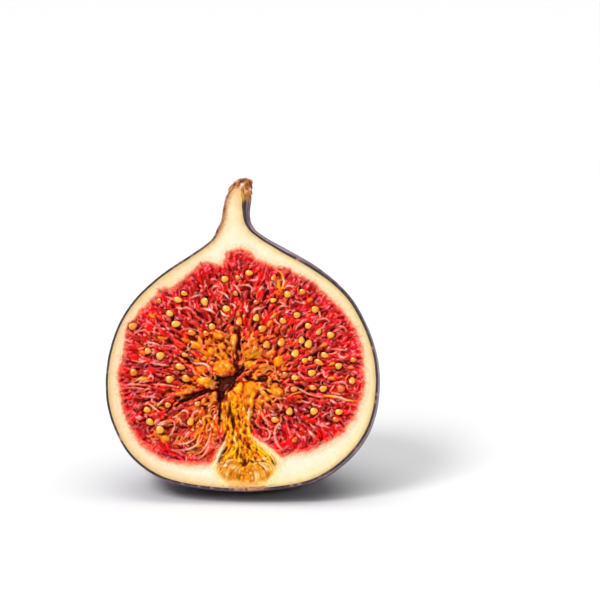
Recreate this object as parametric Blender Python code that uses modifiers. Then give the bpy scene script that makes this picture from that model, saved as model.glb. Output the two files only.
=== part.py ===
# Half of a fresh fig, cut lengthwise a little in front of its axis, standing on its blunt
# flower end and leaning back on it. The fruit is one grown piece, so it is one solid:
# skin, pale rind, pulp, neck and the stub of the stalk.
#
# Method: a turned body (profile + Screw), pushed out of round by a smooth deformation that
# gives the off-centre neck, the shallow lengthwise ribs and the stalk stub, then cut by a
# knife plane, hollowed at the centre of the pulp and flattened where the soft fruit rests.
#
# Metres, +Z up. The cut face looks towards -Y and +X is on the right of somebody looking at
# it. The origin is the centre of the flat spot that the fruit rests on.

import math

import bmesh
import bpy
from mathutils import Matrix, Vector

MM = 0.001

# ---- driving dimensions, in millimetres, in the fruit's own frame: u across, v back from
# ---- the knife plane, w up the fruit from its flower end
LEAN_DEG = 18.0          # how far the stalk leans back from vertical at rest
SETTLE = 1.00            # how much the soft flower end flattens where it rests
STEPS = 88               # facets round the turned body
RINGS = 50               # rings along the profile

# Outer radius of the body at heights up the fruit (half widths of the widest section)
BODY = [
    (0.00, 0.00), (0.17, 4.00), (0.38, 6.40), (0.85, 10.00), (1.40, 12.75), (2.15, 15.25),
    (3.30, 17.60), (5.00, 20.10), (7.50, 22.75), (10.5, 24.85), (14.5, 26.60), (18.5, 27.45),
    (22.0, 27.65), (25.5, 27.40), (29.0, 26.70), (32.5, 25.55), (36.0, 23.75), (39.0, 21.60),
    (42.0, 18.60), (45.0, 14.75), (47.2, 11.40), (49.2, 8.20), (51.2, 5.30), (52.9, 3.68),
    (54.6, 2.82), (57.0, 2.54), (59.0, 2.48), (61.0, 2.15), (62.2, 1.70), (62.9, 1.20),
    (63.4, 0.00),
]
# Where the section's centre lies, and how much it is drawn out towards the back right:
# (height, across, back, draw)
CENTRE = [
    (0.0, -0.80, 3.9, 0.0), (6.0, -0.75, 4.0, 0.0), (13.0, -0.40, 4.2, 0.0),
    (24.0, -0.45, 4.2, 0.0), (34.0, -0.50, 4.2, 0.0), (42.0, -0.15, 4.1, 0.0),
    (46.0, -0.10, 3.4, 0.06), (49.2, -0.65, 2.4, 0.20), (51.3, -1.50, 1.55, 0.32),
    (53.0, -2.25, 0.85, 0.42), (55.4, -2.35, 0.75, 0.48), (58.4, -2.05, 1.05, 0.50),
    (61.0, -1.50, 1.55, 0.38), (63.4, -0.75, 2.0, 0.0),
]
# Lengthwise ribs: (count, phase in radians, depth share at the neck, depth share at the waist)
RIBS = [(9, 0.7, 0.030, 0.0035), (14, 2.1, 0.014, 0.0020)]

# The hollow at the centre of the pulp: centre across, centre up, half width, depth, half height
HOLLOW = (-2.2, 22.6, 1.9, 3.4, 4.6)
HOLLOW_TURN_DEG = -24.0


def along(keys, x, column):
    """Smooth interpolation (monotone tangents) of one column of a table of rows."""
    n = len(keys)
    if x <= keys[0][0]:
        return keys[0][column]
    if x >= keys[-1][0]:
        return keys[-1][column]
    i = max(k for k in range(n - 1) if keys[k][0] <= x)
    slope = [
        (keys[k + 1][column] - keys[k][column]) / (keys[k + 1][0] - keys[k][0])
        for k in range(n - 1)
    ]

    def tangent(k):
        if k == 0:
            return slope[0]
        if k == n - 1:
            return slope[-1]
        a, b = slope[k - 1], slope[k]
        return 0.0 if a * b <= 0 else 2 * a * b / (a + b)

    h = keys[i + 1][0] - keys[i][0]
    t = (x - keys[i][0]) / h
    return (
        (2 * t**3 - 3 * t**2 + 1) * keys[i][column]
        + (t**3 - 2 * t**2 + t) * h * tangent(i)
        + (-2 * t**3 + 3 * t**2) * keys[i + 1][column]
        + (t**3 - t**2) * h * tangent(i + 1)
    )


def profile_points():
    """The turned outline, stalk end first, spaced evenly along its own length."""
    fine = []
    top = BODY[-1][0]
    for k in range(4001):
        # heights bunched towards both poles, where the outline runs flat
        w = top * 0.5 * (1 - math.cos(math.pi * k / 4000))
        fine.append((along(BODY, w, 1), w))
    # the flower end is blunt: close to the pole the outline is a shallow bowl
    blunt = BODY[2]
    bowl = blunt[0] / blunt[1] ** 2
    fine = [(r, max(w, 0.0)) for r, w in fine if w >= blunt[0]]
    steps = 60
    bottom = [(blunt[1] * k / steps, bowl * (blunt[1] * k / steps) ** 2) for k in range(steps)]
    line = bottom + fine
    length = [0.0]
    for a, b in zip(line, line[1:]):
        length.append(length[-1] + math.hypot(b[0] - a[0], b[1] - a[1]))
    points, j = [], 0
    for k in range(RINGS + 1):
        # tighter rings on the narrow neck and stalk, wider ones on the broad body
        s = k / RINGS
        want = length[-1] * (s + 0.10 * math.sin(math.pi * s) ** 2 * math.sin(math.pi * s))
        want = min(want, length[-1])
        while j < len(length) - 2 and length[j + 1] < want:
            j += 1
        t = (want - length[j]) / max(1e-9, length[j + 1] - length[j])
        a, b = line[j], line[j + 1]
        points.append((a[0] + t * (b[0] - a[0]), a[1] + t * (b[1] - a[1])))
    points[0] = (0.0, 0.0)
    points[-1] = (0.0, top)
    return points[::-1]


def shape(p):
    """Moves a point of the round turned body to its place on the real, uneven fruit."""
    x, y, w = p.x / MM, p.y / MM, p.z / MM
    r = math.hypot(x, y)
    angle = math.atan2(y, x)
    share = min(1.0, max(0.0, (w - 30.0) / 24.0))
    rise = share * share * (3 - 2 * share)
    fade = min(1.0, w / 10.0) * min(1.0, max(0.0, (61.8 - w) / 2.0))
    swell = 1.0
    for count, phase, neck, waist in RIBS:
        swell += fade * (waist + (neck - waist) * rise) * math.cos(count * angle + phase)
    r *= swell
    draw = along(CENTRE, w, 3)
    u = along(CENTRE, w, 1) + r * math.cos(angle)
    v = along(CENTRE, w, 2) + r * (
        draw * math.cos(angle) + math.sqrt(1 - draw * draw) * math.sin(angle)
    )
    return Vector((u * MM, v * MM, w * MM))


def material(name, colour, roughness):
    made = bpy.data.materials.new(name)
    made.use_nodes = True
    shader = made.node_tree.nodes["Principled BSDF"]
    shader.inputs["Base Color"].default_value = (*colour, 1.0)
    shader.inputs["Roughness"].default_value = roughness
    shader.inputs["Metallic"].default_value = 0.0
    return made


def collection(name):
    made = bpy.data.collections.new(name)
    bpy.context.scene.collection.children.link(made)
    return made


def cutter(name, mesh, helpers):
    made = bpy.data.objects.new(name, mesh)
    made.hide_render = True
    made.display_type = "WIRE"
    helpers.objects.link(made)
    return made


def block(name, low, high, helpers):
    """A box cutter between two corners, in millimetres."""
    mesh = bpy.data.meshes.new(name)
    bm = bmesh.new()
    bmesh.ops.create_cube(bm, size=1.0)
    size = [(b - a) * MM for a, b in zip(low, high)]
    middle = [(a + b) / 2 * MM for a, b in zip(low, high)]
    bmesh.ops.scale(bm, vec=size, verts=bm.verts)
    bmesh.ops.translate(bm, vec=middle, verts=bm.verts)
    bm.to_mesh(mesh)
    bm.free()
    return cutter(name, mesh, helpers)


def cut(target, tool):
    modifier = target.modifiers.new("cut_" + tool.name, "BOOLEAN")
    modifier.operation = "DIFFERENCE"
    modifier.object = tool
    modifier.solver = "EXACT"


def applied(obj, name):
    """A plain mesh of the object with its modifiers carried out."""
    bpy.context.view_layer.update()
    graph = bpy.context.evaluated_depsgraph_get()
    mesh = bpy.data.meshes.new_from_object(obj.evaluated_get(graph))
    mesh.name = name
    return mesh


def main():
    for old in list(bpy.data.objects):
        bpy.data.objects.remove(old, do_unlink=True)
    fig = collection("fresh_fig_half")
    helpers = collection("cutters")

    # the turned body
    line = bpy.data.meshes.new("outline")
    points = profile_points()
    line.from_pydata(
        [(r * MM, 0.0, w * MM) for r, w in points],
        [(k, k + 1) for k in range(len(points) - 1)],
        [],
    )
    turned = bpy.data.objects.new("turned_body", line)
    helpers.objects.link(turned)
    turned.hide_render = True
    screw = turned.modifiers.new("turn", "SCREW")
    screw.axis = "Z"
    screw.angle = 2 * math.pi
    screw.steps = screw.render_steps = STEPS
    screw.use_merge_vertices = True
    screw.merge_threshold = 0.00002
    screw.use_smooth_shade = True

    # the uneven fruit
    mesh = applied(turned, "fig_half")
    bm = bmesh.new()
    bm.from_mesh(mesh)
    bmesh.ops.remove_doubles(bm, verts=bm.verts, dist=0.00002)
    for v in bm.verts:
        v.co = shape(v.co)
    bmesh.ops.recalc_face_normals(bm, faces=bm.faces)
    bm.to_mesh(mesh)
    bm.free()
    bpy.data.objects.remove(turned, do_unlink=True)

    whole = bpy.data.objects.new("whole", mesh)
    helpers.objects.link(whole)
    whole.hide_render = True

    # the knife plane and the hollow at the centre of the pulp
    knife = block("knife", (-40, -40, -5), (40, 0, 75), helpers)
    cut(whole, knife)
    across, up, half_width, depth, half_height = HOLLOW
    bud = bpy.data.meshes.new("pulp_hollow")
    bm = bmesh.new()
    bmesh.ops.create_uvsphere(bm, u_segments=20, v_segments=12, radius=1.0)
    bmesh.ops.scale(bm, vec=(half_width * MM, depth * MM, half_height * MM), verts=bm.verts)
    bmesh.ops.rotate(
        bm,
        cent=(0, 0, 0),
        matrix=Matrix.Rotation(math.radians(HOLLOW_TURN_DEG), 3, "Y"),
        verts=bm.verts,
    )
    bmesh.ops.translate(bm, vec=(across * MM, -0.05 * MM, up * MM), verts=bm.verts)
    bm.to_mesh(bud)
    bm.free()
    cut(whole, cutter("pulp_hollow", bud, helpers))
    half = applied(whole, "fig_half")
    bpy.data.objects.remove(whole, do_unlink=True)

    # lean it back on its flower end, then flatten the spot it rests on
    turn = Matrix.Rotation(math.radians(-LEAN_DEG), 4, "X")
    half.transform(turn)
    lowest = min((v.co for v in half.vertices), key=lambda c: c.z)
    # the contact spot's centre: below the centre of curvature of the blunt end
    half.transform(
        Matrix.Translation((0.0, -lowest.y, -lowest.z - SETTLE * MM))
    )
    rest = bpy.data.objects.new("rest", half)
    helpers.objects.link(rest)
    rest.hide_render = True
    floor = block("table", (-60, -60, -20), (60, 60, 0), helpers)
    cut(rest, floor)
    final = applied(rest, "fig_half")
    bpy.data.objects.remove(rest, do_unlink=True)

    # put the origin at the centre of that flat spot
    flat = [v.co for v in final.vertices if abs(v.co.z) < 2e-6]
    middle = sum((Vector((c.x, c.y, 0.0)) for c in flat), Vector()) / len(flat)
    middle.x = (min(c.x for c in flat) + max(c.x for c in flat)) / 2
    middle.y = (min(c.y for c in flat) + max(c.y for c in flat)) / 2
    final.transform(Matrix.Translation(-middle))

    made = bpy.data.objects.new("fig_half", final)
    fig.objects.link(made)
    final.materials.clear()
    final.materials.append(material("fig_skin", (0.035, 0.018, 0.045), 0.42))
    final.materials.append(material("fig_flesh", (0.62, 0.10, 0.05), 0.35))
    knife_normal = turn.to_3x3() @ Vector((0, -1, 0))
    for face in final.polygons:
        face.material_index = 1 if face.normal.dot(knife_normal) > 0.999 else 0
        face.use_smooth = face.material_index == 0
    final.set_sharp_from_angle(angle=math.radians(40))


main()
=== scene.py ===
"""Looks of the fresh fig half: purple skin, cream rind, wet red pulp with its seeds."""

import math

import bmesh
import bpy
import numpy as np
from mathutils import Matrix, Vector
from mathutils.geometry import delaunay_2d_cdt


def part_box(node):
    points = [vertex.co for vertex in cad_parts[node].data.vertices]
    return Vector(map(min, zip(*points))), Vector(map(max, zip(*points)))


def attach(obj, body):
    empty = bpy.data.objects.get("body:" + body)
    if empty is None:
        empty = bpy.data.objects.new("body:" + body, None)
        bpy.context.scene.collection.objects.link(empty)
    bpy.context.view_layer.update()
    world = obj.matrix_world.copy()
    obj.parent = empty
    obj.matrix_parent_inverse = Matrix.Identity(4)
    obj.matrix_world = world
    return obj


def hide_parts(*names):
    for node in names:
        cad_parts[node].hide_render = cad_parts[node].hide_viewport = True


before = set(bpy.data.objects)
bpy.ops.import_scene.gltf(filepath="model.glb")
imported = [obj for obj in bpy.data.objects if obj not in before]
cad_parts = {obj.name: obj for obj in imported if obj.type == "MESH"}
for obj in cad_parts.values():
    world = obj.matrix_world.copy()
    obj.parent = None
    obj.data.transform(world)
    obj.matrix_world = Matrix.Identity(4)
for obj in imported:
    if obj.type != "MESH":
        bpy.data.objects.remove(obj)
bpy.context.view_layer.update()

MM = 0.001
LEAN = math.radians(18.0)        # the half leans back by this much
SKIN = 0.42                      # thickness of the skin, mm

# the fruit's outline and axis, as in the CAD part (mm)
BODY = [
    (0.00, 0.00), (0.17, 4.00), (0.38, 6.40), (0.85, 10.00), (1.40, 12.75), (2.15, 15.25),
    (3.30, 17.60), (5.00, 20.10), (7.50, 22.75), (10.5, 24.85), (14.5, 26.60), (18.5, 27.45),
    (22.0, 27.65), (25.5, 27.40), (29.0, 26.70), (32.5, 25.55), (36.0, 23.75), (39.0, 21.60),
    (42.0, 18.60), (45.0, 14.75), (47.2, 11.40), (49.2, 8.20), (51.2, 5.30), (52.9, 3.68),
    (54.6, 2.82), (57.0, 2.54), (59.0, 2.48), (61.0, 2.15), (62.2, 1.70), (62.9, 1.20), (63.4, 0.00),
]
CENTRE = [
    (0.0, -0.80, 3.9, 0.0), (6.0, -0.75, 4.0, 0.0), (13.0, -0.40, 4.2, 0.0), (24.0, -0.45, 4.2, 0.0),
    (34.0, -0.50, 4.2, 0.0), (42.0, -0.15, 4.1, 0.0), (46.0, -0.10, 3.4, 0.06), (49.2, -0.65, 2.4, 0.20),
    (51.3, -1.50, 1.55, 0.32), (53.0, -2.25, 0.85, 0.42), (55.4, -2.35, 0.75, 0.48), (58.4, -2.05, 1.05, 0.50),
    (61.0, -1.50, 1.55, 0.38), (63.4, -0.75, 2.0, 0.0),
]
RIBS = [(9, 0.7, 0.030, 0.0035), (14, 2.1, 0.014, 0.0020)]


def along(keys, x, column):
    """Smooth reading of one column of a table at the heights x."""
    k = np.array(keys, float)
    n = len(k)
    i = np.clip(np.searchsorted(k[:, 0], x, side="right") - 1, 0, n - 2)
    slope = np.diff(k[:, column]) / np.diff(k[:, 0])
    tangent = np.empty(n)
    tangent[0], tangent[-1] = slope[0], slope[-1]
    a, b = slope[:-1], slope[1:]
    both = a * b > 0
    tangent[1:-1] = np.where(both, 2 * a * b / np.where(both, a + b, 1), 0)
    h = k[i + 1, 0] - k[i, 0]
    t = (x - k[i, 0]) / h
    return (
        (2 * t**3 - 3 * t**2 + 1) * k[i, column]
        + (t**3 - 2 * t**2 + t) * h * tangent[i]
        + (-2 * t**3 + 3 * t**2) * k[i + 1, column]
        + (t**3 - t**2) * h * tangent[i + 1]
    )


def outline(count):
    """The turned outline from the flower end to the stalk, evenly spaced: (radius, height)."""
    top = BODY[-1][0]
    w = top * 0.5 * (1 - np.cos(np.pi * np.arange(6001) / 6000))
    r = along(BODY, w, 1)
    blunt = BODY[2]
    keep = w >= blunt[0]
    q = blunt[1] * np.arange(80) / 80
    r = np.concatenate([q, r[keep]])
    w = np.concatenate([blunt[0] * (q / blunt[1]) ** 2, w[keep]])
    run = np.concatenate([[0], np.cumsum(np.hypot(np.diff(r), np.diff(w)))])
    s = np.linspace(0, 1, count + 1)
    want = run[-1] * (s - 0.05 * np.sin(2 * np.pi * s) * s)
    return np.interp(want, run, r), np.interp(want, run, w)


def fruit(r, angle, w):
    """Points of the uneven fruit, in its own upright frame (mm)."""
    share = np.clip((w - 30.0) / 24.0, 0, 1)
    rise = share * share * (3 - 2 * share)
    fade = np.minimum(1, w / 10.0) * np.clip((61.8 - w) / 2.0, 0, 1)
    swell = 1.0
    for count, phase, neck, waist in RIBS:
        swell = swell + fade * (waist + (neck - waist) * rise) * np.cos(count * angle + phase)
    r = r * swell
    draw = along(CENTRE, w, 3)
    u = along(CENTRE, w, 1) + r * np.cos(angle)
    v = along(CENTRE, w, 2) + r * (draw * np.cos(angle) + np.sqrt(1 - draw * draw) * np.sin(angle))
    return np.stack(np.broadcast_arrays(u, v, w), -1)


COS, SIN = math.cos(LEAN), math.sin(LEAN)


def leaned(p):
    p = np.asarray(p, float)
    return np.stack([p[..., 0], p[..., 1] * COS + p[..., 2] * SIN, -p[..., 1] * SIN + p[..., 2] * COS], -1)


def fitted():
    """Where the fruit's own frame sits, from the CAD node's box."""
    r, w = outline(200)
    a = np.linspace(0, 2 * np.pi, 361)[:-1]
    p = fruit(r[:, None], a[None, :], w[:, None]).reshape(-1, 3)
    p = leaned(p[p[:, 1] >= 0])
    low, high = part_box("fig_half")
    return np.array(high) / MM - p.max(axis=0)


SHIFT = fitted()


def placed_mm(p):
    """Own frame to the row frame, mm."""
    return leaned(p) + SHIFT


def own(p):
    """Row frame to the own frame, mm."""
    q = np.asarray(p, float) - SHIFT
    return np.stack([q[..., 0], q[..., 1] * COS - q[..., 2] * SIN, q[..., 1] * SIN + q[..., 2] * COS], -1)


# ---------------------------------------------------------------- the cut face as a field

GRID = 0.08                      # field spacing, mm
U_MIN, U_MAX, W_MIN, W_MAX = -29.2, 28.8, -1.6, 64.0
NU = int(round((U_MAX - U_MIN) / GRID)) + 1
NW = int(round((W_MAX - W_MIN) / GRID)) + 1
UU, WW = np.meshgrid(U_MIN + GRID * np.arange(NU), W_MIN + GRID * np.arange(NW))
UU = UU.astype(np.float32)
WW = WW.astype(np.float32)
HEART = (-2.4, 22.6)             # where the florets point to

# where the red pulp ends against the pale rind
PULP = [
    (-0.7, 48.7), (1.1, 48.0), (2.0, 46.8), (4.0, 46.0), (6.0, 45.3), (8.2, 45.0),
    (10.2, 43.9), (12.4, 43.0), (14.1, 42.0), (15.2, 40.7), (16.6, 39.6), (18.1, 38.1),
    (19.9, 36.4), (21.1, 34.9), (22.4, 33.0), (23.4, 30.8), (24.0, 28.2), (24.1, 25.0),
    (24.5, 22.5), (24.2, 20.0), (23.6, 18.4), (23.2, 16.9), (22.5, 15.2), (21.5, 13.8),
    (20.4, 12.2), (18.7, 10.9), (16.7, 9.7), (15.0, 8.8), (13.3, 8.1), (10.7, 7.8),
    (8.8, 7.2), (7.6, 7.4), (5.4, 9.0), (3.0, 10.4), (1.0, 10.6), (-1.6, 10.2), (-3.6, 9.6),
    (-4.7, 7.6), (-5.6, 5.7), (-7.4, 5.2), (-10.4, 5.1), (-13.0, 5.3), (-15.5, 5.8),
    (-17.4, 6.8), (-19.0, 8.0), (-20.5, 9.3), (-21.6, 10.6), (-22.5, 12.2), (-23.3, 13.8),
    (-24.0, 15.4), (-24.4, 17.5), (-24.9, 20.0), (-25.3, 22.2), (-25.1, 24.2), (-24.5, 26.2),
    (-24.1, 28.6), (-24.0, 31.0), (-23.4, 33.2), (-21.8, 34.8), (-21.0, 36.2), (-19.4, 37.5),
    (-18.2, 38.8), (-17.2, 40.3), (-15.2, 40.5), (-13.4, 41.8), (-12.2, 42.8), (-10.4, 44.6),
    (-8.8, 45.8), (-7.0, 45.9), (-5.0, 45.5), (-4.3, 46.6), (-3.8, 48.0), (-2.2, 48.6),
]


def smooth(a, b, x):
    t = np.clip((x - a) / (b - a), 0.0, 1.0)
    return t * t * (3 - 2 * t)


def mixed(a, b, t):
    return a + (b - a) * t


def grid_noise(seed, size, shape=None, fu=1.0, fw=1.0):
    """Smooth random field over the face, about -1..1, features about `size` mm."""
    rng = np.random.default_rng(seed)
    nu = int((U_MAX - U_MIN) * fu / size) + 5
    nw = int((W_MAX - W_MIN) * fw / size) + 5
    table = rng.uniform(-1, 1, (nw, nu)).astype(np.float32)
    x = (UU - U_MIN) * fu / size + 1
    y = (WW - W_MIN) * fw / size + 1
    return sample(table, x, y)


def sample(table, x, y):
    """Quintic-eased bilinear reading of a table."""
    x = np.clip(x, 0, table.shape[1] - 1.001)
    y = np.clip(y, 0, table.shape[0] - 1.001)
    i = np.floor(x).astype(np.int32)
    j = np.floor(y).astype(np.int32)
    a = x - i
    b = y - j
    a = a * a * a * (a * (a * 6 - 15) + 10)
    b = b * b * b * (b * (b * 6 - 15) + 10)
    return (
        table[j, i] * (1 - a) * (1 - b)
        + table[j, i + 1] * a * (1 - b)
        + table[j + 1, i] * (1 - a) * b
        + table[j + 1, i + 1] * a * b
    )


def octaves(seed, size, count=3, gain=0.55):
    total, level, weight = 0.0, 1.0, 0.0
    for k in range(count):
        total = total + level * grid_noise(seed + 17 * k, size / 2**k)
        weight += level
        level *= gain
    return total / weight


def read(field, u, w):
    """Bilinear reading of a field at points given in mm."""
    x = np.clip((np.asarray(u) - U_MIN) / GRID, 0, NU - 1.001)
    y = np.clip((np.asarray(w) - W_MIN) / GRID, 0, NW - 1.001)
    i = x.astype(np.int32)
    j = y.astype(np.int32)
    a = x - i
    b = y - j
    if field.ndim == 3:
        a = a[..., None]
        b = b[..., None]
    return (
        field[j, i] * (1 - a) * (1 - b)
        + field[j, i + 1] * a * (1 - b)
        + field[j + 1, i] * (1 - a) * b
        + field[j + 1, i + 1] * a * b
    )


def blur(field, size):
    """Gaussian blur, sigma in mm."""
    s = size / GRID
    n = max(1, int(3 * s + 0.5))
    k = np.exp(-0.5 * (np.arange(-n, n + 1) / s) ** 2)
    k = (k / k.sum()).astype(np.float32)
    out = field
    for axis in (0, 1):
        pad = [(0, 0)] * out.ndim
        pad[axis] = (n, n)
        big = np.pad(out, pad, mode="edge")
        total = np.zeros_like(out)
        for m, weight in enumerate(k):
            cut = [slice(None)] * out.ndim
            cut[axis] = slice(m, m + out.shape[axis])
            total += weight * big[tuple(cut)]
        out = total
    return out


def polygon_distance(points):
    """Signed distance to a closed outline, positive inside, mm."""
    p = np.asarray(points, np.float32)
    q = np.roll(p, -1, axis=0)
    best = np.full(UU.shape, 1e9, np.float32)
    inside = np.zeros(UU.shape, bool)
    for (au, aw), (bu, bw) in zip(p, q):
        du, dw = bu - au, bw - aw
        t = np.clip(((UU - au) * du + (WW - aw) * dw) / (du * du + dw * dw + 1e-12), 0, 1)
        d = (UU - au - t * du) ** 2 + (WW - aw - t * dw) ** 2
        np.minimum(best, d, out=best)
        if abs(dw) > 1e-9:
            hit = ((aw > WW) != (bw > WW)) & (UU < (bu - au) * (WW - aw) / (bw - aw) + au)
            inside ^= hit
    return np.where(inside, 1, -1) * np.sqrt(best)


def catmull(points, per=10, closed=False):
    """A smooth line through control points."""
    p = np.asarray(points, float)
    n = len(p)
    out = []
    spans = n if closed else n - 1
    for k in range(spans):
        if closed:
            a, b, c, d = p[(k - 1) % n], p[k], p[(k + 1) % n], p[(k + 2) % n]
        else:
            b, c = p[k], p[k + 1]
            a = p[k - 1] if k else 2 * b - c
            d = p[k + 2] if k + 2 < n else 2 * c - b
        for m in range(per):
            t = m / per
            out.append(
                0.5
                * (
                    2 * b
                    + (c - a) * t
                    + (2 * a - 5 * b + 4 * c - d) * t * t
                    + (3 * b - a - 3 * c + d) * t**3
                )
            )
    if not closed:
        out.append(p[-1])
    return np.array(out)


def streaks(seed, flow_u, flow_w, length, fine):
    """Noise drawn out along a direction field (mean about 0, spread about 1)."""
    rng = np.random.default_rng(seed)
    base = rng.normal(0, 1, UU.shape).astype(np.float32)
    if fine > GRID:
        base = blur(base, fine)
    total = base.copy()
    weight = 1.0
    step = 1.0
    count = int(length / (GRID * step))
    for sign in (1, -1):
        x = (UU - U_MIN) / GRID
        y = (WW - W_MIN) / GRID
        for k in range(count):
            i = np.clip(np.rint(x), 0, NU - 1).astype(np.int32)
            j = np.clip(np.rint(y), 0, NW - 1).astype(np.int32)
            x = x + sign * step * flow_u[j, i]
            y = y + sign * step * flow_w[j, i]
            i = np.clip(np.rint(x), 0, NU - 1).astype(np.int32)
            j = np.clip(np.rint(y), 0, NW - 1).astype(np.int32)
            fade = 1 - k / count
            total += fade * base[j, i]
            weight += fade
    total /= weight
    return (total - total.mean()) / total.std()


def blend(a, b, t):
    """Colours a and b mixed by a field t."""
    t = np.asarray(t)[..., None]
    return np.asarray(a) * (1 - t) + np.asarray(b) * t


# florets: curved drops stamped on top of one another
def placed(seed, wanted, room, accept, tries=60):
    """Scattered points with room(u, w) mm between them, where accept(u, w) is true."""
    rng = np.random.default_rng(seed)
    points = []
    bins = {}
    size = 1.0
    for _ in range(wanted * tries):
        u = rng.uniform(U_MIN + 1, U_MAX - 1)
        w = rng.uniform(W_MIN + 1, W_MAX - 1)
        if not accept(u, w):
            continue
        r = room(u, w)
        a, b = int(u // size), int(w // size)
        reach = int(math.ceil(r / size))
        clash = False
        for i in range(a - reach, a + reach + 1):
            for j in range(b - reach, b + reach + 1):
                for (x, y) in bins.get((i, j), ()):
                    if (x - u) ** 2 + (y - w) ** 2 < r * r:
                        clash = True
                        break
                if clash:
                    break
            if clash:
                break
        if clash:
            continue
        points.append((u, w))
        bins.setdefault((a, b), []).append((u, w))
        if len(points) >= wanted:
            break
    return points


# direction in the face that the light is taken to come from, for the painted highlights and painted shade of the drops
PAINTED_LIGHT_FROM = (-0.55, 0.83)


class Layers:
    """Height, colour and what lies on top at each place of the face."""

    def __init__(self, floor, colour):
        self.h = np.array(np.broadcast_to(floor, UU.shape), np.float32)
        self.c = np.array(np.broadcast_to(np.asarray(colour, np.float32), UU.shape + (3,)), np.float32)
        self.edge = np.zeros(UU.shape, np.float32)

    def window(self, u, w, reach):
        i0 = max(0, int((u - reach - U_MIN) / GRID))
        i1 = min(NU, int((u + reach - U_MIN) / GRID) + 2)
        j0 = max(0, int((w - reach - W_MIN) / GRID))
        j1 = min(NW, int((w + reach - W_MIN) / GRID) + 2)
        return slice(j0, j1), slice(i0, i1)

    def drop(self, u, w, angle, long, wide, top, rise, colour, bend=0.0, taper=0.0, rim=None, power=0.5, gleam=None, shine=0.0, turned=0.0):
        """A domed, drawn-out cell whose highest point is at `top` and whose edge turns to `rim`; `shine` paints a
        highlight in `gleam` on its upper left flank, and `turned` paints shade on the far side.
        """
        rows, cols = self.window(u, w, long * 1.25 + abs(bend) * long * long + 0.1)
        x = UU[rows, cols] - u
        y = WW[rows, cols] - w
        s = x * math.cos(angle) + y * math.sin(angle)
        t = -x * math.sin(angle) + y * math.cos(angle) - bend * s * s
        width = wide * np.clip(1 - taper * s / long, 0.25, 1.9)
        q = (s / long) ** 2 + (t / width) ** 2
        inside = q < 1
        if not inside.any():
            return
        height = top - rise + rise * np.power(np.clip(1 - q, 0, 1), power)
        h = self.h[rows, cols]
        take = inside & (height > h)
        h[take] = height[take]
        shade = np.asarray(colour, np.float32)
        c = self.c[rows, cols]
        k = smooth(0.45, 1.0, q)[take][:, None] * (0 if rim is None else 1)
        paint = shade * (1 - k) + np.asarray(shade if rim is None else rim, np.float32) * k
        # painted shade on the side away from the light, and a painted highlight on the flank towards it
        if shine or turned:
            ls = PAINTED_LIGHT_FROM[0] * math.cos(angle) + PAINTED_LIGHT_FROM[1] * math.sin(angle)
            lt = -PAINTED_LIGHT_FROM[0] * math.sin(angle) + PAINTED_LIGHT_FROM[1] * math.cos(angle)
            a, b = (s / long)[take], (t / width)[take]
            paint = paint * (1 - turned * smooth(0.1, 0.9, -(a * ls + b * lt)))[:, None]
            ns, nt = long * ls, wide * lt
            m = math.hypot(ns, nt) + 1e-6
            g = shine * np.exp(-((a - 0.5 * ns / m) / 0.34) ** 2 - ((b - 0.5 * nt / m) / 0.24) ** 2)[:, None]
            if shine:
                paint = paint * (1 - g) + np.asarray(gleam, np.float32) * g
        c[take] = paint
        e = self.edge[rows, cols]
        e[take] = q[take]

    def stroke(self, path, half, top, colour, rim=None, ends=0.35, lift=None, gleam=None, at=0.5, spread=0.22):
        """A rounded thread laid along a path of (u, w) points, its sides turning to `rim`; `gleam` paints a highlight
        along it about `at`.
        """
        p = np.asarray(path, float)
        seg = np.diff(p, axis=0)
        run = np.concatenate([[0], np.cumsum(np.hypot(seg[:, 0], seg[:, 1]))])
        total = run[-1]
        if total <= 0:
            return
        cu, cw = p.mean(axis=0)
        reach = np.abs(p - (cu, cw)).max() + half + 0.1
        rows, cols = self.window(cu, cw, reach)
        x = UU[rows, cols]
        y = WW[rows, cols]
        best = np.full(x.shape, 1e9, np.float32)
        where = np.zeros(x.shape, np.float32)
        for k in range(len(seg)):
            du, dw = seg[k]
            t = np.clip(((x - p[k, 0]) * du + (y - p[k, 1]) * dw) / (du * du + dw * dw + 1e-12), 0, 1)
            d = (x - p[k, 0] - t * du) ** 2 + (y - p[k, 1] - t * dw) ** 2
            near = d < best
            best = np.where(near, d, best)
            where = np.where(near, run[k] + t * (run[k + 1] - run[k]), where)
        s = where / total
        r = half * np.sqrt(np.clip(np.minimum(s, 1 - s) / ends, 0.06, 1))
        q = best / (r * r)
        inside = q < 1
        if not inside.any():
            return
        crest = top if lift is None else top + lift * np.sin(np.pi * s)
        height = crest - r + r * np.sqrt(np.clip(1 - q, 0, 1))
        h = self.h[rows, cols]
        take = inside & (height > h)
        h[take] = height[take]
        c = self.c[rows, cols]
        shade = np.asarray(colour, np.float32)
        k = smooth(0.3, 1.0, q)[take][:, None] * (0 if rim is None else 1)
        paint = shade * (1 - k) + np.asarray(shade if rim is None else rim, np.float32) * k
        # painted highlight along part of the thread
        if gleam is not None:
            g = (np.exp(-((s - at) / spread) ** 2) * smooth(0.8, 0.1, q))[take][:, None]
            paint = paint * (1 - g) + np.asarray(gleam, np.float32) * g
        c[take] = paint

    def ring(self, u, w, angle, long, wide, half, top, colour, start=0.0, sweep=6.2832):
        """A curved thread round an oval."""
        a = start + np.linspace(0, sweep, max(6, int(sweep * max(long, wide) / 0.25)))
        x = long * np.cos(a)
        y = wide * np.sin(a)
        path = np.stack([u + x * math.cos(angle) - y * math.sin(angle), w + x * math.sin(angle) + y * math.cos(angle)], 1)
        self.stroke(path, half, top, colour, ends=0.12)


def lin(r, g, b):
    """A display colour (0..255) as linear light."""
    out = []
    for v in (r, g, b):
        v = v / 255.0
        out.append(v / 12.92 if v <= 0.04045 else ((v + 0.055) / 1.055) ** 2.4)
    return np.array(out, np.float32)


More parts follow.
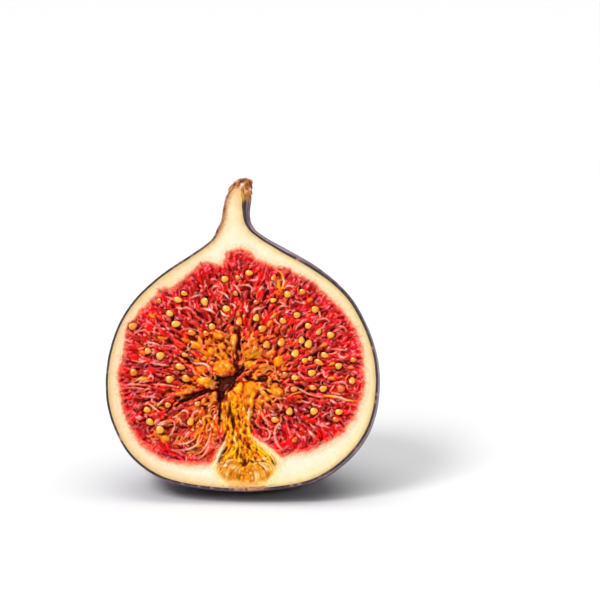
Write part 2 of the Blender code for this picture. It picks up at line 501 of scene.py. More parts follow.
SEEDS = [
    # across, up, long, wide, turn in degrees, ripeness 0 pale gold .. 1 orange-red
    (-13.5, 38.3, 1.80, 1.25, -10, 0.1), (-12.3, 39.6, 1.45, 1.00, -20, 0.4),
    (-8.15, 37.95, 1.75, 1.45, -60, 0.1), (-15.15, 35.5, 1.55, 1.30, -15, 0.1),
    (-13.8, 33.4, 2.00, 1.35, 0, 0.15), (-22.5, 32.85, 1.85, 1.45, 35, 0.5),
    (-10.6, 31.7, 1.80, 1.20, -5, 0.75), (-6.55, 33.0, 1.45, 1.35, 0, 0.15),
    (-17.4, 38.0, 1.20, 1.00, -50, 0.8), (-7.7, 31.6, 1.30, 1.10, 0, 0.8),
    (-4.15, 42.65, 1.50, 1.35, 0, 0.1), (0.7, 43.95, 1.60, 1.15, 0, 0.2),
    (-1.55, 42.95, 1.10, 0.95, 0, 0.6), (-1.95, 39.75, 1.15, 0.95, -40, 0.6),
    (-3.7, 36.65, 1.75, 1.30, -10, 0.1), (2.35, 34.95, 1.55, 1.30, 80, 0.1),
    (-1.1, 34.15, 1.75, 1.30, 85, 0.55), (3.65, 32.75, 1.70, 1.40, 20, 0.6),
    (5.7, 43.1, 1.40, 1.15, 80, 0.8), (8.6, 39.75, 1.50, 1.40, 0, 0.1),
    (5.7, 38.5, 1.30, 0.95, 10, 0.0), (7.75, 34.35, 1.50, 1.20, -20, 0.5),
    (4.55, 29.6, 1.60, 1.45, 80, 0.4), (7.5, 30.1, 1.85, 1.45, 80, 0.5),
    (2.3, 38.1, 1.30, 0.95, 30, 0.9), (11.55, 40.35, 1.30, 1.15, 0, 0.6),
    (14.2, 36.8, 1.55, 1.40, 10, 0.3), (10.6, 35.6, 1.50, 1.25, 15, 0.2),
    (12.9, 33.45, 1.45, 1.20, -10, 0.3), (17.4, 31.7, 1.55, 1.35, 0, 0.15),
    (15.0, 32.35, 1.50, 1.00, 60, 0.3), (11.55, 30.6, 1.50, 1.25, 85, 0.2),
    (13.0, 29.85, 1.80, 1.45, 80, 0.15), (10.35, 27.9, 1.70, 1.50, 70, 0.2),
    (16.3, 27.6, 1.70, 1.15, -15, 0.3), (12.35, 26.5, 1.40, 1.10, 30, 0.4),
    (15.15, 26.15, 2.00, 1.10, -15, 0.55), (19.15, 25.5, 1.45, 1.30, 20, 0.2),
    (13.8, 24.0, 1.70, 1.35, 15, 0.2), (10.4, 23.0, 1.50, 1.05, 0, 0.15),
    (21.9, 22.6, 1.60, 1.25, 85, 0.3), (14.05, 21.05, 1.50, 1.00, -5, 0.25),
    (16.2, 20.9, 1.65, 1.25, 15, 0.15), (10.3, 20.65, 1.60, 1.05, -5, 0.5),
    (19.8, 20.9, 1.60, 1.50, 0, 0.9), (22.1, 26.8, 1.60, 1.00, 10, 0.65),
    (9.45, 16.2, 1.65, 1.35, 80, 0.25), (14.4, 16.3, 1.60, 1.45, 0, 0.1),
    (19.4, 16.25, 1.60, 1.20, 5, 0.2), (6.6, 14.45, 1.70, 1.15, -10, 0.25),
    (18.8, 14.7, 1.50, 0.95, -10, 0.9), (-19.35, 27.85, 1.40, 1.30, 0, 0.35),
    (-16.8, 26.95, 1.75, 1.60, 20, 0.1), (-11.85, 27.2, 1.45, 0.90, -5, 0.6),
    (-12.75, 24.8, 2.10, 1.25, -10, 0.4), (-22.15, 23.5, 1.60, 1.50, 0, 0.75),
    (-14.8, 22.25, 1.80, 1.45, 10, 0.25), (-11.55, 22.45, 1.80, 1.40, -10, 0.35),
    (-15.05, 17.05, 1.30, 1.15, 0, 0.45), (-19.2, 16.0, 1.50, 1.20, -10, 0.2),
    (-18.6, 13.55, 1.70, 1.35, -35, 0.1), (-16.5, 12.0, 1.75, 1.65, 0, 0.1),
    (-10.4, 13.85, 1.70, 1.30, 85, 0.2), (-9.1, 17.4, 1.40, 1.05, 40, 0.55),
    (13.4, 26.9, 1.20, 1.00, 70, 0.45), (8.4, 23.6, 1.20, 1.10, 0, 0.7),
    (10.7, 10.6, 1.40, 1.00, 60, 0.9),
]

# orange-tan florets that crowd round the hollow: across, up, long, wide, turn, tone, lift
LUMPS = [
    (-4.1, 24.9, 2.10, 1.85, 10, 0.35, 0.1), (1.5, 27.8, 1.90, 1.20, 15, 0.30, 0.0),
    (-2.2, 30.2, 1.15, 0.68, 80, 0.00, 0.2), (-5.2, 31.1, 1.30, 0.75, 0, 0.45, -0.1),
    (-6.5, 28.1, 0.95, 0.85, -30, 0.40, 0.0), (-8.0, 26.6, 0.85, 0.55, 10, 0.35, 0.0),
    (1.3, 25.5, 1.35, 0.85, 5, 0.35, 0.0), (3.95, 24.9, 1.10, 0.95, 40, 0.35, 0.1),
    (7.1, 26.2, 1.30, 1.30, 60, 0.45, 0.1), (1.5, 20.5, 1.80, 1.70, 70, 0.40, 0.2),
    (-0.8, 20.6, 1.40, 0.80, 75, 0.20, 0.1), (6.8, 20.1, 1.60, 1.15, -35, 0.35, 0.1),
    (3.3, 17.9, 1.40, 0.95, 70, 0.55, -0.1), (-2.2, 18.7, 1.30, 0.80, 70, 0.40, -0.1),
    (-3.7, 17.1, 0.90, 0.85, 60, 0.45, 0.0), (-6.0, 18.6, 1.50, 0.70, 75, 0.30, 0.0),
    (-7.6, 21.9, 2.00, 0.90, -8, 0.25, 0.2), (-8.5, 24.4, 1.15, 0.90, 5, 0.40, 0.1),
    (0.6, 31.6, 0.70, 0.42, 80, 0.10, 0.0), (-2.8, 28.7, 0.70, 0.45, 20, 0.30, 0.0),
    (-4.6, 29.1, 1.00, 0.62, -20, 0.45, 0.0), (-4.2, 27.4, 0.75, 0.55, 20, 0.55, 0.0),
    (2.4, 22.9, 0.55, 0.35, -60, 0.15, 0.2), (5.2, 22.2, 0.70, 0.50, 60, 0.50, 0.0),
    (3.6, 30.7, 0.80, 0.60, 70, 0.60, 0.0), (2.2, 29.9, 0.75, 0.50, 30, 0.45, 0.0),
    (5.6, 28.0, 0.90, 0.65, 40, 0.50, 0.0), (-9.3, 28.9, 1.20, 0.60, -20, 0.50, 0.0),
    (-7.2, 29.8, 0.90, 0.60, 10, 0.60, 0.0), (-10.6, 20.4, 1.20, 0.60, 10, 0.55, 0.0),
    (3.2, 26.9, 0.60, 0.50, 0, 0.55, 0.0), (-6.4, 20.9, 0.7, 0.45, -30, 0.45, 0.0),
    (4.7, 18.6, 0.9, 0.6, 60, 0.55, 0.0), (-0.6, 18.0, 0.9, 0.5, 80, 0.45, 0.0),
    (-7.9, 18.0, 0.9, 0.5, 60, 0.5, 0.0), (-9.6, 26.0, 0.9, 0.5, 0, 0.6, 0.0),
    (8.3, 24.6, 0.7, 0.5, 60, 0.7, 0.0), (9.0, 27.0, 0.7, 0.5, 60, 0.75, 0.0),
]

# clefts in the heart of the pulp: control points (across, up, half width) and depth
CLEFTS = [
    ([(-4.9, 18.0, 0.30), (-4.6, 19.6, 0.85), (-4.0, 21.2, 1.35), (-3.3, 22.3, 1.05), (-2.3, 22.4, 0.7), (-1.4, 23.3, 0.48), (-0.4, 24.8, 0.42), (-0.1, 25.7, 0.22)], 3.2),
    ([(-5.1, 22.9, 0.30), (-4.4, 22.1, 0.9), (-3.2, 21.6, 1.2), (-2.2, 21.3, 0.5)], 3.2),
    ([(-1.0, 24.3, 0.30), (-1.7, 25.6, 0.42), (-1.4, 26.8, 0.40), (-1.6, 28.0, 0.36), (-1.2, 29.6, 0.42), (-1.1, 31.2, 0.36), (-1.0, 32.3, 0.15)], 2.2),
    ([(0.3, 23.3, 0.20), (1.2, 22.7, 0.50), (2.2, 22.3, 0.30), (3.3, 22.6, 0.50), (4.4, 22.9, 0.48), (5.4, 22.4, 0.25), (6.9, 22.1, 0.28), (8.2, 22.0, 0.12)], 2.2),
    ([(1.5, 24.2, 0.35), (1.2, 22.9, 0.45)], 1.6),
    ([(-4.6, 20.4, 0.5), (-6.2, 20.2, 0.50), (-8.0, 19.9, 0.55), (-10.0, 19.1, 0.55), (-12.0, 18.2, 0.42), (-13.6, 16.9, 0.16)], 2.2),
    ([(-5.1, 19.4, 0.25), (-5.3, 17.4, 0.17), (-5.1, 15.4, 0.12)], 1.4),
    ([(-0.2, 21.6, 0.25), (-0.1, 20.9, 0.2)], 1.2),
]

# fine curved threads seen on the cut: points, half width, paleness 0 pink .. 1 white, or 2 for amber
THREADS = [
    ([(-14.1, 37.1), (-13.1, 36.5), (-11.7, 36.8), (-10.7, 36.3), (-10.4, 35.5)], 0.19, 0.5),
    ([(-13.2, 31.8), (-12.0, 32.4), (-10.0, 32.3), (-8.6, 31.6)], 0.18, 0.4),
    ([(-8.85, 36.6), (-7.2, 36.4), (-6.0, 35.6)], 0.24, 0.9),
    ([(-22.5, 30.9), (-21.3, 32.1), (-20.3, 33.4)], 0.18, 0.4),
    ([(-21.5, 31.7), (-20.1, 32.1), (-19.0, 31.1)], 0.20, 0.6),
    ([(-20.1, 34.3), (-17.7, 32.7), (-14.9, 32.2)], 0.30, -0.6),
    ([(-5.6, 40.2), (-4.1, 39.6), (-3.2, 38.5)], 0.22, 0.9),
    ([(-2.7, 41.8), (-1.5, 40.8), (-0.75, 39.2)], 0.18, 0.6),
    ([(-1.1, 41.4), (0.5, 41.5), (1.3, 40.8), (0.95, 40.0)], 0.22, 0.8),
    ([(-5.0, 36.4), (-4.2, 35.4), (-3.0, 35.1)], 0.24, 1.0),
    ([(-3.05, 37.7), (-2.05, 37.3), (-2.1, 36.3)], 0.18, 0.8),
    ([(-8.6, 36.5), (-7.0, 36.2), (-5.6, 35.4)], 0.18, 0.5),
    ([(0.0, 38.4), (0.1, 37.0), (0.7, 36.1)], 0.18, 0.5),
    ([(1.1, 35.7), (1.9, 36.6), (3.1, 36.8), (4.1, 37.2)], 0.20, 0.7),
    ([(2.6, 40.1), (3.6, 41.6)], 0.18, 0.5),
    ([(5.85, 44.7), (7.1, 44.1), (7.7, 42.5), (7.5, 41.0)], 0.26, 2.0),
    ([(6.5, 36.6), (7.5, 37.4), (9.1, 37.2)], 0.18, 0.6),
    ([(8.0, 40.9), (8.6, 41.5), (10.0, 41.3)], 0.18, 0.6),
    ([(10.2, 32.5), (10.8, 33.5), (12.0, 34.5)], 0.20, 0.6),
    ([(17.4, 33.7), (19.0, 33.9), (19.4, 34.9)], 0.18, 0.5),
    ([(17.5, 28.9), (20.5, 28.7)], 0.18, 0.5),
    ([(-9.8, 25.4), (-8.2, 25.5), (-7.0, 24.9), (-7.0, 24.1)], 0.22, 1.0),
    ([(-18.2, 25.5), (-16.4, 25.1), (-15.0, 25.1)], 0.20, 0.9),
    ([(-19.9, 17.1), (-18.9, 17.2), (-17.7, 16.3), (-16.5, 15.5)], 0.20, 0.8),
    ([(-17.3, 16.7), (-15.7, 18.5)], 0.18, 0.9),
    ([(-21.6, 14.6), (-20.4, 14.0)], 0.20, 0.9),
    ([(-14.4, 14.1), (-13.6, 13.3), (-14.0, 11.7), (-14.8, 10.7)], 0.20, 0.7),
    ([(-12.5, 14.3), (-12.2, 12.9)], 0.20, 0.7),
    ([(-8.7, 14.4), (-8.1, 13.2)], 0.18, 0.8),
    ([(-24.2, 20.9), (-22.0, 21.1), (-19.4, 20.9)], 0.20, 0.2),
    ([(-24.2, 20.3), (-22.0, 20.4), (-19.6, 20.2)], 0.18, 0.3),
    ([(-18.3, 21.2), (-15.7, 21.1), (-13.0, 20.7)], 0.18, 0.6),
    ([(18.8, 22.2), (20.0, 22.3), (20.8, 21.7), (21.1, 20.7)], 0.20, 0.9),
    ([(17.4, 20.3), (18.4, 21.7)], 0.18, 0.6),
    ([(20.3, 23.8), (21.5, 24.4), (22.9, 24.0), (23.9, 22.4), (23.6, 20.8)], 0.22, -0.4),
    ([(20.6, 21.4), (21.6, 20.4), (22.8, 20.8), (23.3, 22.2)], 0.22, -0.4),
    ([(15.5, 24.8), (16.3, 24.2)], 0.18, 1.0),
    ([(8.3, 22.0), (10.8, 21.0), (13.4, 19.7), (16.4, 18.9)], 0.20, 0.5),
    ([(17.5, 18.7), (18.9, 17.9)], 0.24, 0.9),
    ([(16.2, 19.6), (19.3, 19.2), (20.9, 18.7), (22.9, 18.5)], 0.26, 2.0),
    ([(7.0, 17.8), (7.6, 16.6)], 0.18, 0.9),
    ([(17.7, 16.7), (17.8, 15.3)], 0.18, 0.8),
    ([(7.7, 15.4), (7.8, 14.3), (6.7, 12.7), (6.6, 11.1), (7.2, 9.5), (8.6, 8.1)], 0.26, 0.9),
    ([(4.3, 12.8), (5.4, 12.3), (5.5, 10.9), (4.4, 10.1)], 0.24, 0.9),
    ([(13.1, 12.7), (14.6, 11.1), (15.4, 10.5)], 0.38, 0.1),
    ([(8.7, 14.9), (9.3, 12.5), (10.3, 10.6)], 0.30, 0.0),
    ([(13.7, 13.8), (14.7, 12.6)], 0.24, 0.3),
    ([(-6.4, 9.4), (-7.4, 7.4), (-8.8, 6.2)], 0.24, 0.9),
    ([(-6.2, 12.6), (-6.6, 10.2), (-8.0, 7.9), (-10.0, 6.9)], 0.26, 0.2),
    ([(-7.6, 11.8), (-8.6, 9.6), (-10.8, 8.2), (-13.4, 8.1)], 0.24, 0.1),
    ([(-9.2, 10.6), (-11.2, 9.4), (-14.0, 9.3)], 0.22, 0.4),
    ([(-16.0, 38.9), (-13.6, 38.0)], 0.18, 0.6), ([(-20.6, 29.3), (-18.4, 29.5), (-16.6, 28.9)], 0.18, 0.5),
    ([(-11.2, 38.5), (-9.8, 39.2), (-8.4, 39.3)], 0.18, 0.5), ([(9.8, 38.5), (11.8, 37.9)], 0.18, 0.5),
    ([(14.6, 34.6), (16.2, 35.0), (17.2, 34.3)], 0.18, 0.6), ([(18.6, 28.2), (20.0, 27.2), (21.2, 27.8)], 0.18, 0.6),
    ([(11.6, 18.6), (13.2, 18.0), (14.0, 18.7)], 0.18, 0.5), ([(15.8, 13.8), (17.4, 13.0)], 0.2, 0.6),
    ([(-22.8, 26.0), (-20.8, 25.6), (-19.2, 26.1)], 0.18, 0.5), ([(-21.0, 18.9), (-19.0, 18.6), (-17.4, 19.4)], 0.18, 0.5),
    ([(3.8, 16.0), (4.4, 14.6), (5.3, 14.0)], 0.2, 0.8), ([(1.3, 16.9), (1.35, 14.7)], 0.24, 1.0),
]
# brighter little bodies: amber drops among the red (across, up, long, wide, turn)
DROPS = [
    (7.2, 39.9, 1.2, 0.55, 100), (6.6, 42.0, 1.5, 0.45, 100), (-12.6, 19.4, 1.3, 0.45, 10),
    (10.6, 44.0, 0.9, 0.5, -30), (-9.8, 29.4, 1.3, 0.5, -25), (-11.8, 30.2, 1.0, 0.45, -20),
    (-15.4, 10.4, 1.1, 0.6, -25), (-13.8, 11.0, 0.9, 0.5, 30), (-8.4, 15.6, 0.9, 0.6, 60),
    (18.0, 26.0, 0.9, 0.4, 0), (4.9, 33.8, 0.9, 0.5, 60), (-16.6, 30.4, 1.1, 0.45, -10),
    (16.0, 29.6, 0.9, 0.4, 30), (21.6, 25.2, 0.8, 0.4, 0), (-20.2, 22.2, 0.9, 0.5, 0),
    (9.0, 32.2, 0.8, 0.5, 45), (17.6, 23.0, 0.8, 0.4, 0), (12.0, 22.0, 0.8, 0.4, 0),
    (6.0, 35.6, 0.7, 0.45, 60), (-5.2, 34.0, 0.7, 0.5, 60), (-2.6, 32.6, 0.7, 0.5, 70),
    (13.0, 38.6, 0.8, 0.5, 30), (-18.8, 35.0, 0.8, 0.45, -30), (20.2, 30.2, 0.8, 0.4, 20),
]


FAN_LEFT = [(2.0, -4.4), (5.0, -5.0), (7.6, -4.3), (10.0, -3.4), (12.5, -3.7), (15.0, -4.4), (18.5, -4.9)]
FAN_MID = [(2.0, 0.9), (5.4, 0.6), (8.0, 0.3), (12.0, -0.3), (15.0, -0.8), (18.5, -1.4)]
FAN_RIGHT = [(2.0, 6.2), (5.6, 7.0), (7.0, 6.4), (8.6, 4.8), (10.4, 2.6), (13.0, 1.5), (15.0, 1.7), (18.5, 2.4)]
EYE = [
    (-5.15, 5.0), (-4.95, 3.7), (-4.1, 2.5), (-2.8, 1.75), (-1.0, 1.45), (1.0, 1.3), (3.0, 1.3), (5.0, 1.75),
    (6.4, 2.9), (7.0, 4.2), (7.1, 5.6), (6.5, 7.0), (5.0, 8.4), (3.5, 9.6), (2.4, 10.8), (1.5, 13.0), (1.9, 16.0),
    (2.2, 19.0), (-4.6, 19.0), (-4.4, 15.0), (-3.7, 12.5), (-3.4, 10.0), (-4.2, 7.8),
]


def fan_u(t, w):
    """Across position of a fibre: t is -1 at the left edge, 0 in the middle, 1 at the right."""
    def at(keys):
        return np.interp(w, [k[0] for k in keys], [k[1] for k in keys])
    middle = at(FAN_MID)
    return np.where(t < 0, middle + (middle - at(FAN_LEFT)) * t, middle + (at(FAN_RIGHT) - middle) * t)


def build_face(out):
    """Height, colour and wetness of the cut; out = distance inside the skin, mm."""
    pd = polygon_distance(catmull(PULP, 6, closed=True))
    eye = polygon_distance(catmull(EYE, 5, closed=True))
    hu, hw = HEART
    du = UU - hu
    dw = WW - hw
    turn = 0.35 * octaves(3, 8.0, 2)
    angle = np.arctan2(dw, du) + turn
    fu = np.cos(angle)
    fw = np.sin(angle)
    # low in the fruit the florets curl round to follow the wall
    gw, gu = np.gradient(blur(pd, 1.2), GRID)
    g = np.sqrt(gu * gu + gw * gw) + 1e-6
    gu, gw = gu / g, gw / g
    low = smooth(14.5, 9.0, WW) * smooth(5.5, 2.5, pd) * smooth(3.0, 5.0, np.abs(UU + 0.5)) * np.where(UU < 0, 1.0, 0.7)
    side = np.where(UU < 0, 1.0, -1.0)
    fu = mixed(fu, gw * side, low)
    fw = mixed(fw, -gu * side, low)
    # under the heart they fall to the eye, and its scales spread from one point
    fan = smooth(-0.5, 0.4, eye)
    lean = np.gradient(fan_u(np.zeros_like(WW), WW), GRID, axis=0) + 0.0 * UU
    lean = lean + (UU - fan_u(np.zeros_like(WW), WW)) * np.interp(WW, [2, 5, 8, 10, 13, 18], [0, -0.1, -0.25, -0.2, -0.02, 0.05])
    n = np.sqrt(lean * lean + 1)
    fu = mixed(fu, lean / n, fan)
    fw = mixed(fw, 1 / n, fan)
    lobes = smooth(6.6, 5.4, WW) * fan
    a = np.arctan2(WW - 6.2, (UU - 0.6) * 0.8)
    fu = mixed(fu, np.cos(a), lobes)
    fw = mixed(fw, np.sin(a), lobes)
    n = np.sqrt(fu * fu + fw * fw) + 1e-6
    fu = (fu / n).astype(np.float32)
    fw = (fw / n).astype(np.float32)
    curl = 1.5 * octaves(7, 2.2, 2) * smooth(0.5, 4.5, pd) * (1 - fan)
    mu = (fu * np.cos(curl) - fw * np.sin(curl)).astype(np.float32)
    mw = (fu * np.sin(curl) + fw * np.cos(curl)).astype(np.float32)

    fine = streaks(11, fu, fw, 1.0, 0.05)
    medium = streaks(12, fu, fw, 1.8, 0.13)
    broad = streaks(13, fu, fw, 2.6, 0.26)
    worm2 = streaks(15, mu, mw, 0.8, 0.24)

    # how orange the pulp is
    warm = np.zeros_like(UU)
    for (u, w, a, b, k) in [
        (-5.5, 28.5, 5.0, 3.4, 1.0), (1.0, 26.5, 4.2, 4.6, 1.15), (5.5, 25.0, 3.8, 3.6, 0.95),
        (2.0, 19.5, 5.6, 3.6, 1.2), (-7.0, 22.0, 4.6, 2.8, 1.0), (-2.5, 17.0, 3.6, 3.6, 1.2),
        (-7.6, 14.5, 3.4, 5.4, 0.9), (-8.4, 9.6, 4.2, 3.2, 0.9), (-12.6, 8.0, 2.6, 1.4, 0.5), (-5.4, 11.6, 1.9, 5.0, 0.95), (-7.4, 7.2, 2.8, 1.8, 0.6), (-10.0, 29.8, 3.4, 2.4, 0.75),
        (7.2, 40.5, 1.5, 3.6, 0.8), (-12.0, 19.6, 3.2, 2.2, 0.8), (-15.8, 10.8, 3.4, 1.8, 0.85), (-13.4, 24.2, 2.6, 1.2, 0.55), (-11.6, 27.0, 3.0, 1.6, 0.6), (-17.6, 16.6, 2.4, 1.2, 0.6), (-13.6, 14.2, 2.6, 1.4, 0.6), (-6.2, 33.6, 2.6, 1.6, 0.45),
        (-21.5, 28.0, 1.6, 2.0, 0.35), (-22.0, 21.8, 3.0, 1.0, 0.5), (6.0, 31.5, 5.0, 3.0, 0.45),
        (-1.0, 35.0, 4.0, 3.5, 0.4), (9.8, 20.0, 4.0, 2.0, 0.55), (20.5, 19.3, 2.6, 0.8, 0.6),
    ]:
        warm = np.maximum(warm, k * np.exp(-(((UU - u) / a) ** 2 + ((WW - w) / b) ** 2)))
    warm = np.clip(warm + 0.16 * octaves(21, 3.0, 2), 0, 1)

    # ---- red ground, darker where its relief dips (painted shade)
    a = smooth(-1.4, 1.4, broad + 0.9 * octaves(25, 2.0, 2))
    c = blend(lin(138, 0, 10), lin(206, 6, 22), a)
    c = blend(c, lin(206, 84, 16), np.clip(1.5 * warm, 0, 1) * 0.9)
    c = blend(c * (0.62 + 0.38 * smooth(-1.5, 1.5, worm2))[..., None], lin(130, 46, 6), fan)
    h0 = -0.85 - 0.55 * smooth(2, 10, pd)
    lay = Layers(mixed(h0 + 0.16 * broad + 0.14 * worm2, -0.75 + 0.1 * medium, fan), (0, 0, 0))
    lay.c[:] = c

    def here(field, u, w):
        return float(read(field, u, w))

    rng = np.random.default_rng(5)
    # ---- swollen florets: glassy red sacs, with painted shade at their edges and on the side away from the light, and painted highlights
    sacs = placed(31, 1700, lambda u, w: 0.98 if here(pd, u, w) > 3 else 0.88, lambda u, w: here(pd, u, w) > 0.30)
    deep = [lin(150, 0, 8), lin(176, 0, 10), lin(196, 4, 12), lin(206, 16, 12), lin(122, 0, 6)]
    rosy = [lin(210, 8, 42), lin(230, 48, 76), lin(238, 88, 92), lin(186, 0, 32), lin(222, 30, 46)]
    ambers = [lin(232, 100, 12), lin(222, 76, 8), lin(242, 138, 28), lin(200, 54, 4), lin(246, 162, 52)]
    # dark red for the sac edges: painted shade where the domes turn down
    edge_shade = lin(92, 0, 4)
    for (u, w) in sacs:
        d = here(pd, u, w)
        if here(fan, u, w) > 0.5:
            continue
        k = min(1.0, d / 4.0)
        a = math.atan2(here(fw, u, w), here(fu, u, w)) + rng.normal(0, 0.24 + 0.20 * k)
        wide = rng.uniform(0.20, 0.36) + 0.20 * k * rng.uniform(0, 1) ** 2
        long = wide * rng.uniform(1.7, 3.8 + 1.6 * k)
        top = -rng.uniform(0.15, 0.70) - 0.12 * k
        if rng.uniform() < 0.62 - 0.34 * k:
            tone = rosy[rng.integers(5)]
        else:
            tone = deep[rng.integers(5)]
        heat = here(warm, u, w)
        if rng.uniform() < heat * 1.5:
            tone = mixed(tone, ambers[rng.integers(5)], min(1.0, 0.5 + heat * 0.6))
        bend = rng.normal(0, 0.22 + 0.22 * k)
        rise = rng.uniform(0.30, 0.6)
        # about a third of the sacs get a strong painted highlight
        bright = rng.uniform() < 0.30
        lay.drop(u, w, a, long, wide, top, rise, tone * rng.uniform(0.85, 1.15),
                 bend=bend, taper=rng.uniform(-0.25, 0.25), rim=mixed(tone, edge_shade, 0.35 + 0.4 * rng.uniform()), power=0.5,
                 gleam=mixed(mixed(lin(248, 90, 96), lin(255, 226, 228), rng.uniform()), lin(255, 204, 112), min(1.0, heat)),
                 shine=rng.uniform(0.5, 0.95) if bright else rng.uniform(0.0, 0.25), turned=0.40)
        for side in (1, -1):
            if rng.uniform() > 0.30:
                continue
            # the sac's pale wall, seen edge on along one side, with darker sides as painted shade and a painted
            # highlight on part of it
            s = np.linspace(-rng.uniform(0.3, 1.05), rng.uniform(0.3, 1.05), 9)
            x = s * long
            y = side * wide * np.sqrt(np.clip(1 - 0.8 * s * s, 0, 1)) * rng.uniform(0.6, 1.0) + bend * x * x
            path = np.stack([u + x * math.cos(a) - y * math.sin(a), w + x * math.sin(a) + y * math.cos(a)], 1)
            pale = rng.uniform() ** 1.3
            wall = mixed(lin(224, 26, 36), lin(246, 130, 106), pale)
            if rng.uniform() < heat:
                wall = mixed(lin(228, 96, 20), lin(248, 168, 70), pale)
            lay.stroke(path, rng.uniform(0.08, 0.16), top + rng.uniform(-0.02, 0.16), wall, rim=wall * 0.7,
                       gleam=mixed(wall, mixed(lin(255, 226, 220), lin(255, 226, 170), min(1.0, heat)), rng.uniform(0.0, 0.8)), at=rng.uniform(0.3, 0.7))

    # ---- smooth deep red pools between them, with painted shade at their edges and on the side away from the light, and painted highlights
    for (u, w) in placed(49, 260, lambda u, w: 1.25, lambda u, w: here(pd, u, w) > 0.9 and here(fan, u, w) < 0.3 and here(warm, u, w) < 0.5):
        a = math.atan2(here(fw, u, w), here(fu, u, w)) + rng.normal(0, 0.3)
        wide = rng.uniform(0.36, 0.62)
        tone = deep[rng.integers(4)] * rng.uniform(0.9, 1.15)
        lay.drop(u, w, a, wide * rng.uniform(1.6, 3.4), wide, -rng.uniform(0.0, 0.3), 0.24, tone, bend=rng.normal(0, 0.3), rim=mixed(tone, edge_shade, 0.6),
                 power=0.5, gleam=lin(252, 150, 156), shine=rng.uniform(0.1, 0.8), turned=0.3)

    # ---- threads: styles and torn walls lying over the sacs, darker along their sides as painted shade, with painted highlights along them
    starts = placed(41, 330, lambda u, w: 1.45, lambda u, w: here(pd, u, w) > 0.9)
    for (u, w) in starts:
        if here(fan, u, w) > 0.4 or math.hypot(u + 1.0, w - 22.6) < 5.0:
            continue
        d = here(pd, u, w)
        k = min(1.0, d / 4.0)
        a = math.atan2(here(fw, u, w), here(fu, u, w)) + rng.normal(0, 0.22 + 0.5 * k) + (math.pi if rng.uniform() < 0.5 else 0)
        bend = rng.normal(0, 0.2 + 0.8 * k)
        n = int(rng.uniform(8, 21))
        x, y = u, w
        path = [(x, y)]
        for m in range(n):
            a += bend * 0.17 + rng.normal(0, 0.08)
            x += 0.17 * math.cos(a)
            y += 0.17 * math.sin(a)
            path.append((x, y))
        pale = rng.uniform() ** 1.9
        tone = mixed(lin(230, 36, 44), lin(250, 146, 120), pale)
        heat = here(warm, u, w)
        if rng.uniform() < 1.7 * heat:
            tone = mixed(lin(232, 100, 22), lin(248, 170, 70), pale)
        half = rng.uniform(0.10, 0.22)
        lay.stroke(path, half, -rng.uniform(0.0, 0.30) - 0.10 * k, tone, rim=tone * np.array([0.62, 0.40, 0.44]),
                   gleam=mixed(tone, lin(255, 226, 220), rng.uniform(0.0, 0.9)), at=rng.uniform(0.25, 0.75))

    # ---- clefts at the heart, cut down and darkened inside as painted shade
    h, c = lay.h, lay.c
    shade = np.zeros_like(UU)
    jag = 0.16 * medium + 0.30 * octaves(29, 0.9, 2)
    for (points, depth) in CLEFTS:
        line = catmull(points, 8)
        for k in range(len(line) - 1):
            (au, aw, ar), (bu, bw, br) = line[k], line[k + 1]
            x0, y0, r0 = 0.5 * (au + bu), 0.5 * (aw + bw), max(ar, br)
            rows, cols = lay.window(x0, y0, r0 * 2.2 + 1.4)
            x, y = UU[rows, cols], WW[rows, cols]
            ddu, ddw = bu - au, bw - aw
            t = np.clip(((x - au) * ddu + (y - aw) * ddw) / (ddu * ddu + ddw * ddw + 1e-9), 0, 1)
            d = np.sqrt((x - au - t * ddu) ** 2 + (y - aw - t * ddw) ** 2)
            r = ar + (br - ar) * t
            wall = 0.22 + 0.30 * r
            deep = smooth(r + wall * 0.6, r - wall * 0.6, d + jag[rows, cols] * (0.35 + 0.5 * r))
            shade[rows, cols] = np.maximum(shade[rows, cols], deep * np.clip(0.45 + r * 1.2, 0, 1) * depth / 3.2)
    h[:] = mixed(h, np.minimum(h, -2.75), shade)
    # painted shade inside the clefts
    c[:] = blend(c, lin(132, 34, 6), np.clip(shade * 1.4, 0, 1) * 0.92)

    # dark brown sacs down in the clefts: their dark tones are painted shade, with faint painted highlights
    for (u, w) in placed(44, 260, lambda u, w: 0.55, lambda u, w: here(shade, u, w) > 0.55):
        size = rng.uniform(0.28, 0.6)
        tone = mixed(lin(96, 24, 4), lin(168, 72, 20), rng.uniform())
        lay.drop(u, w, rng.uniform(0, 3.1), size * rng.uniform(1, 1.8), size, -2.45 + rng.uniform(-0.2, 0.3), 0.3, tone, rim=tone * 0.5, power=0.5,
                 gleam=lin(176, 92, 40), shine=rng.uniform(0, 0.4), turned=0.3)
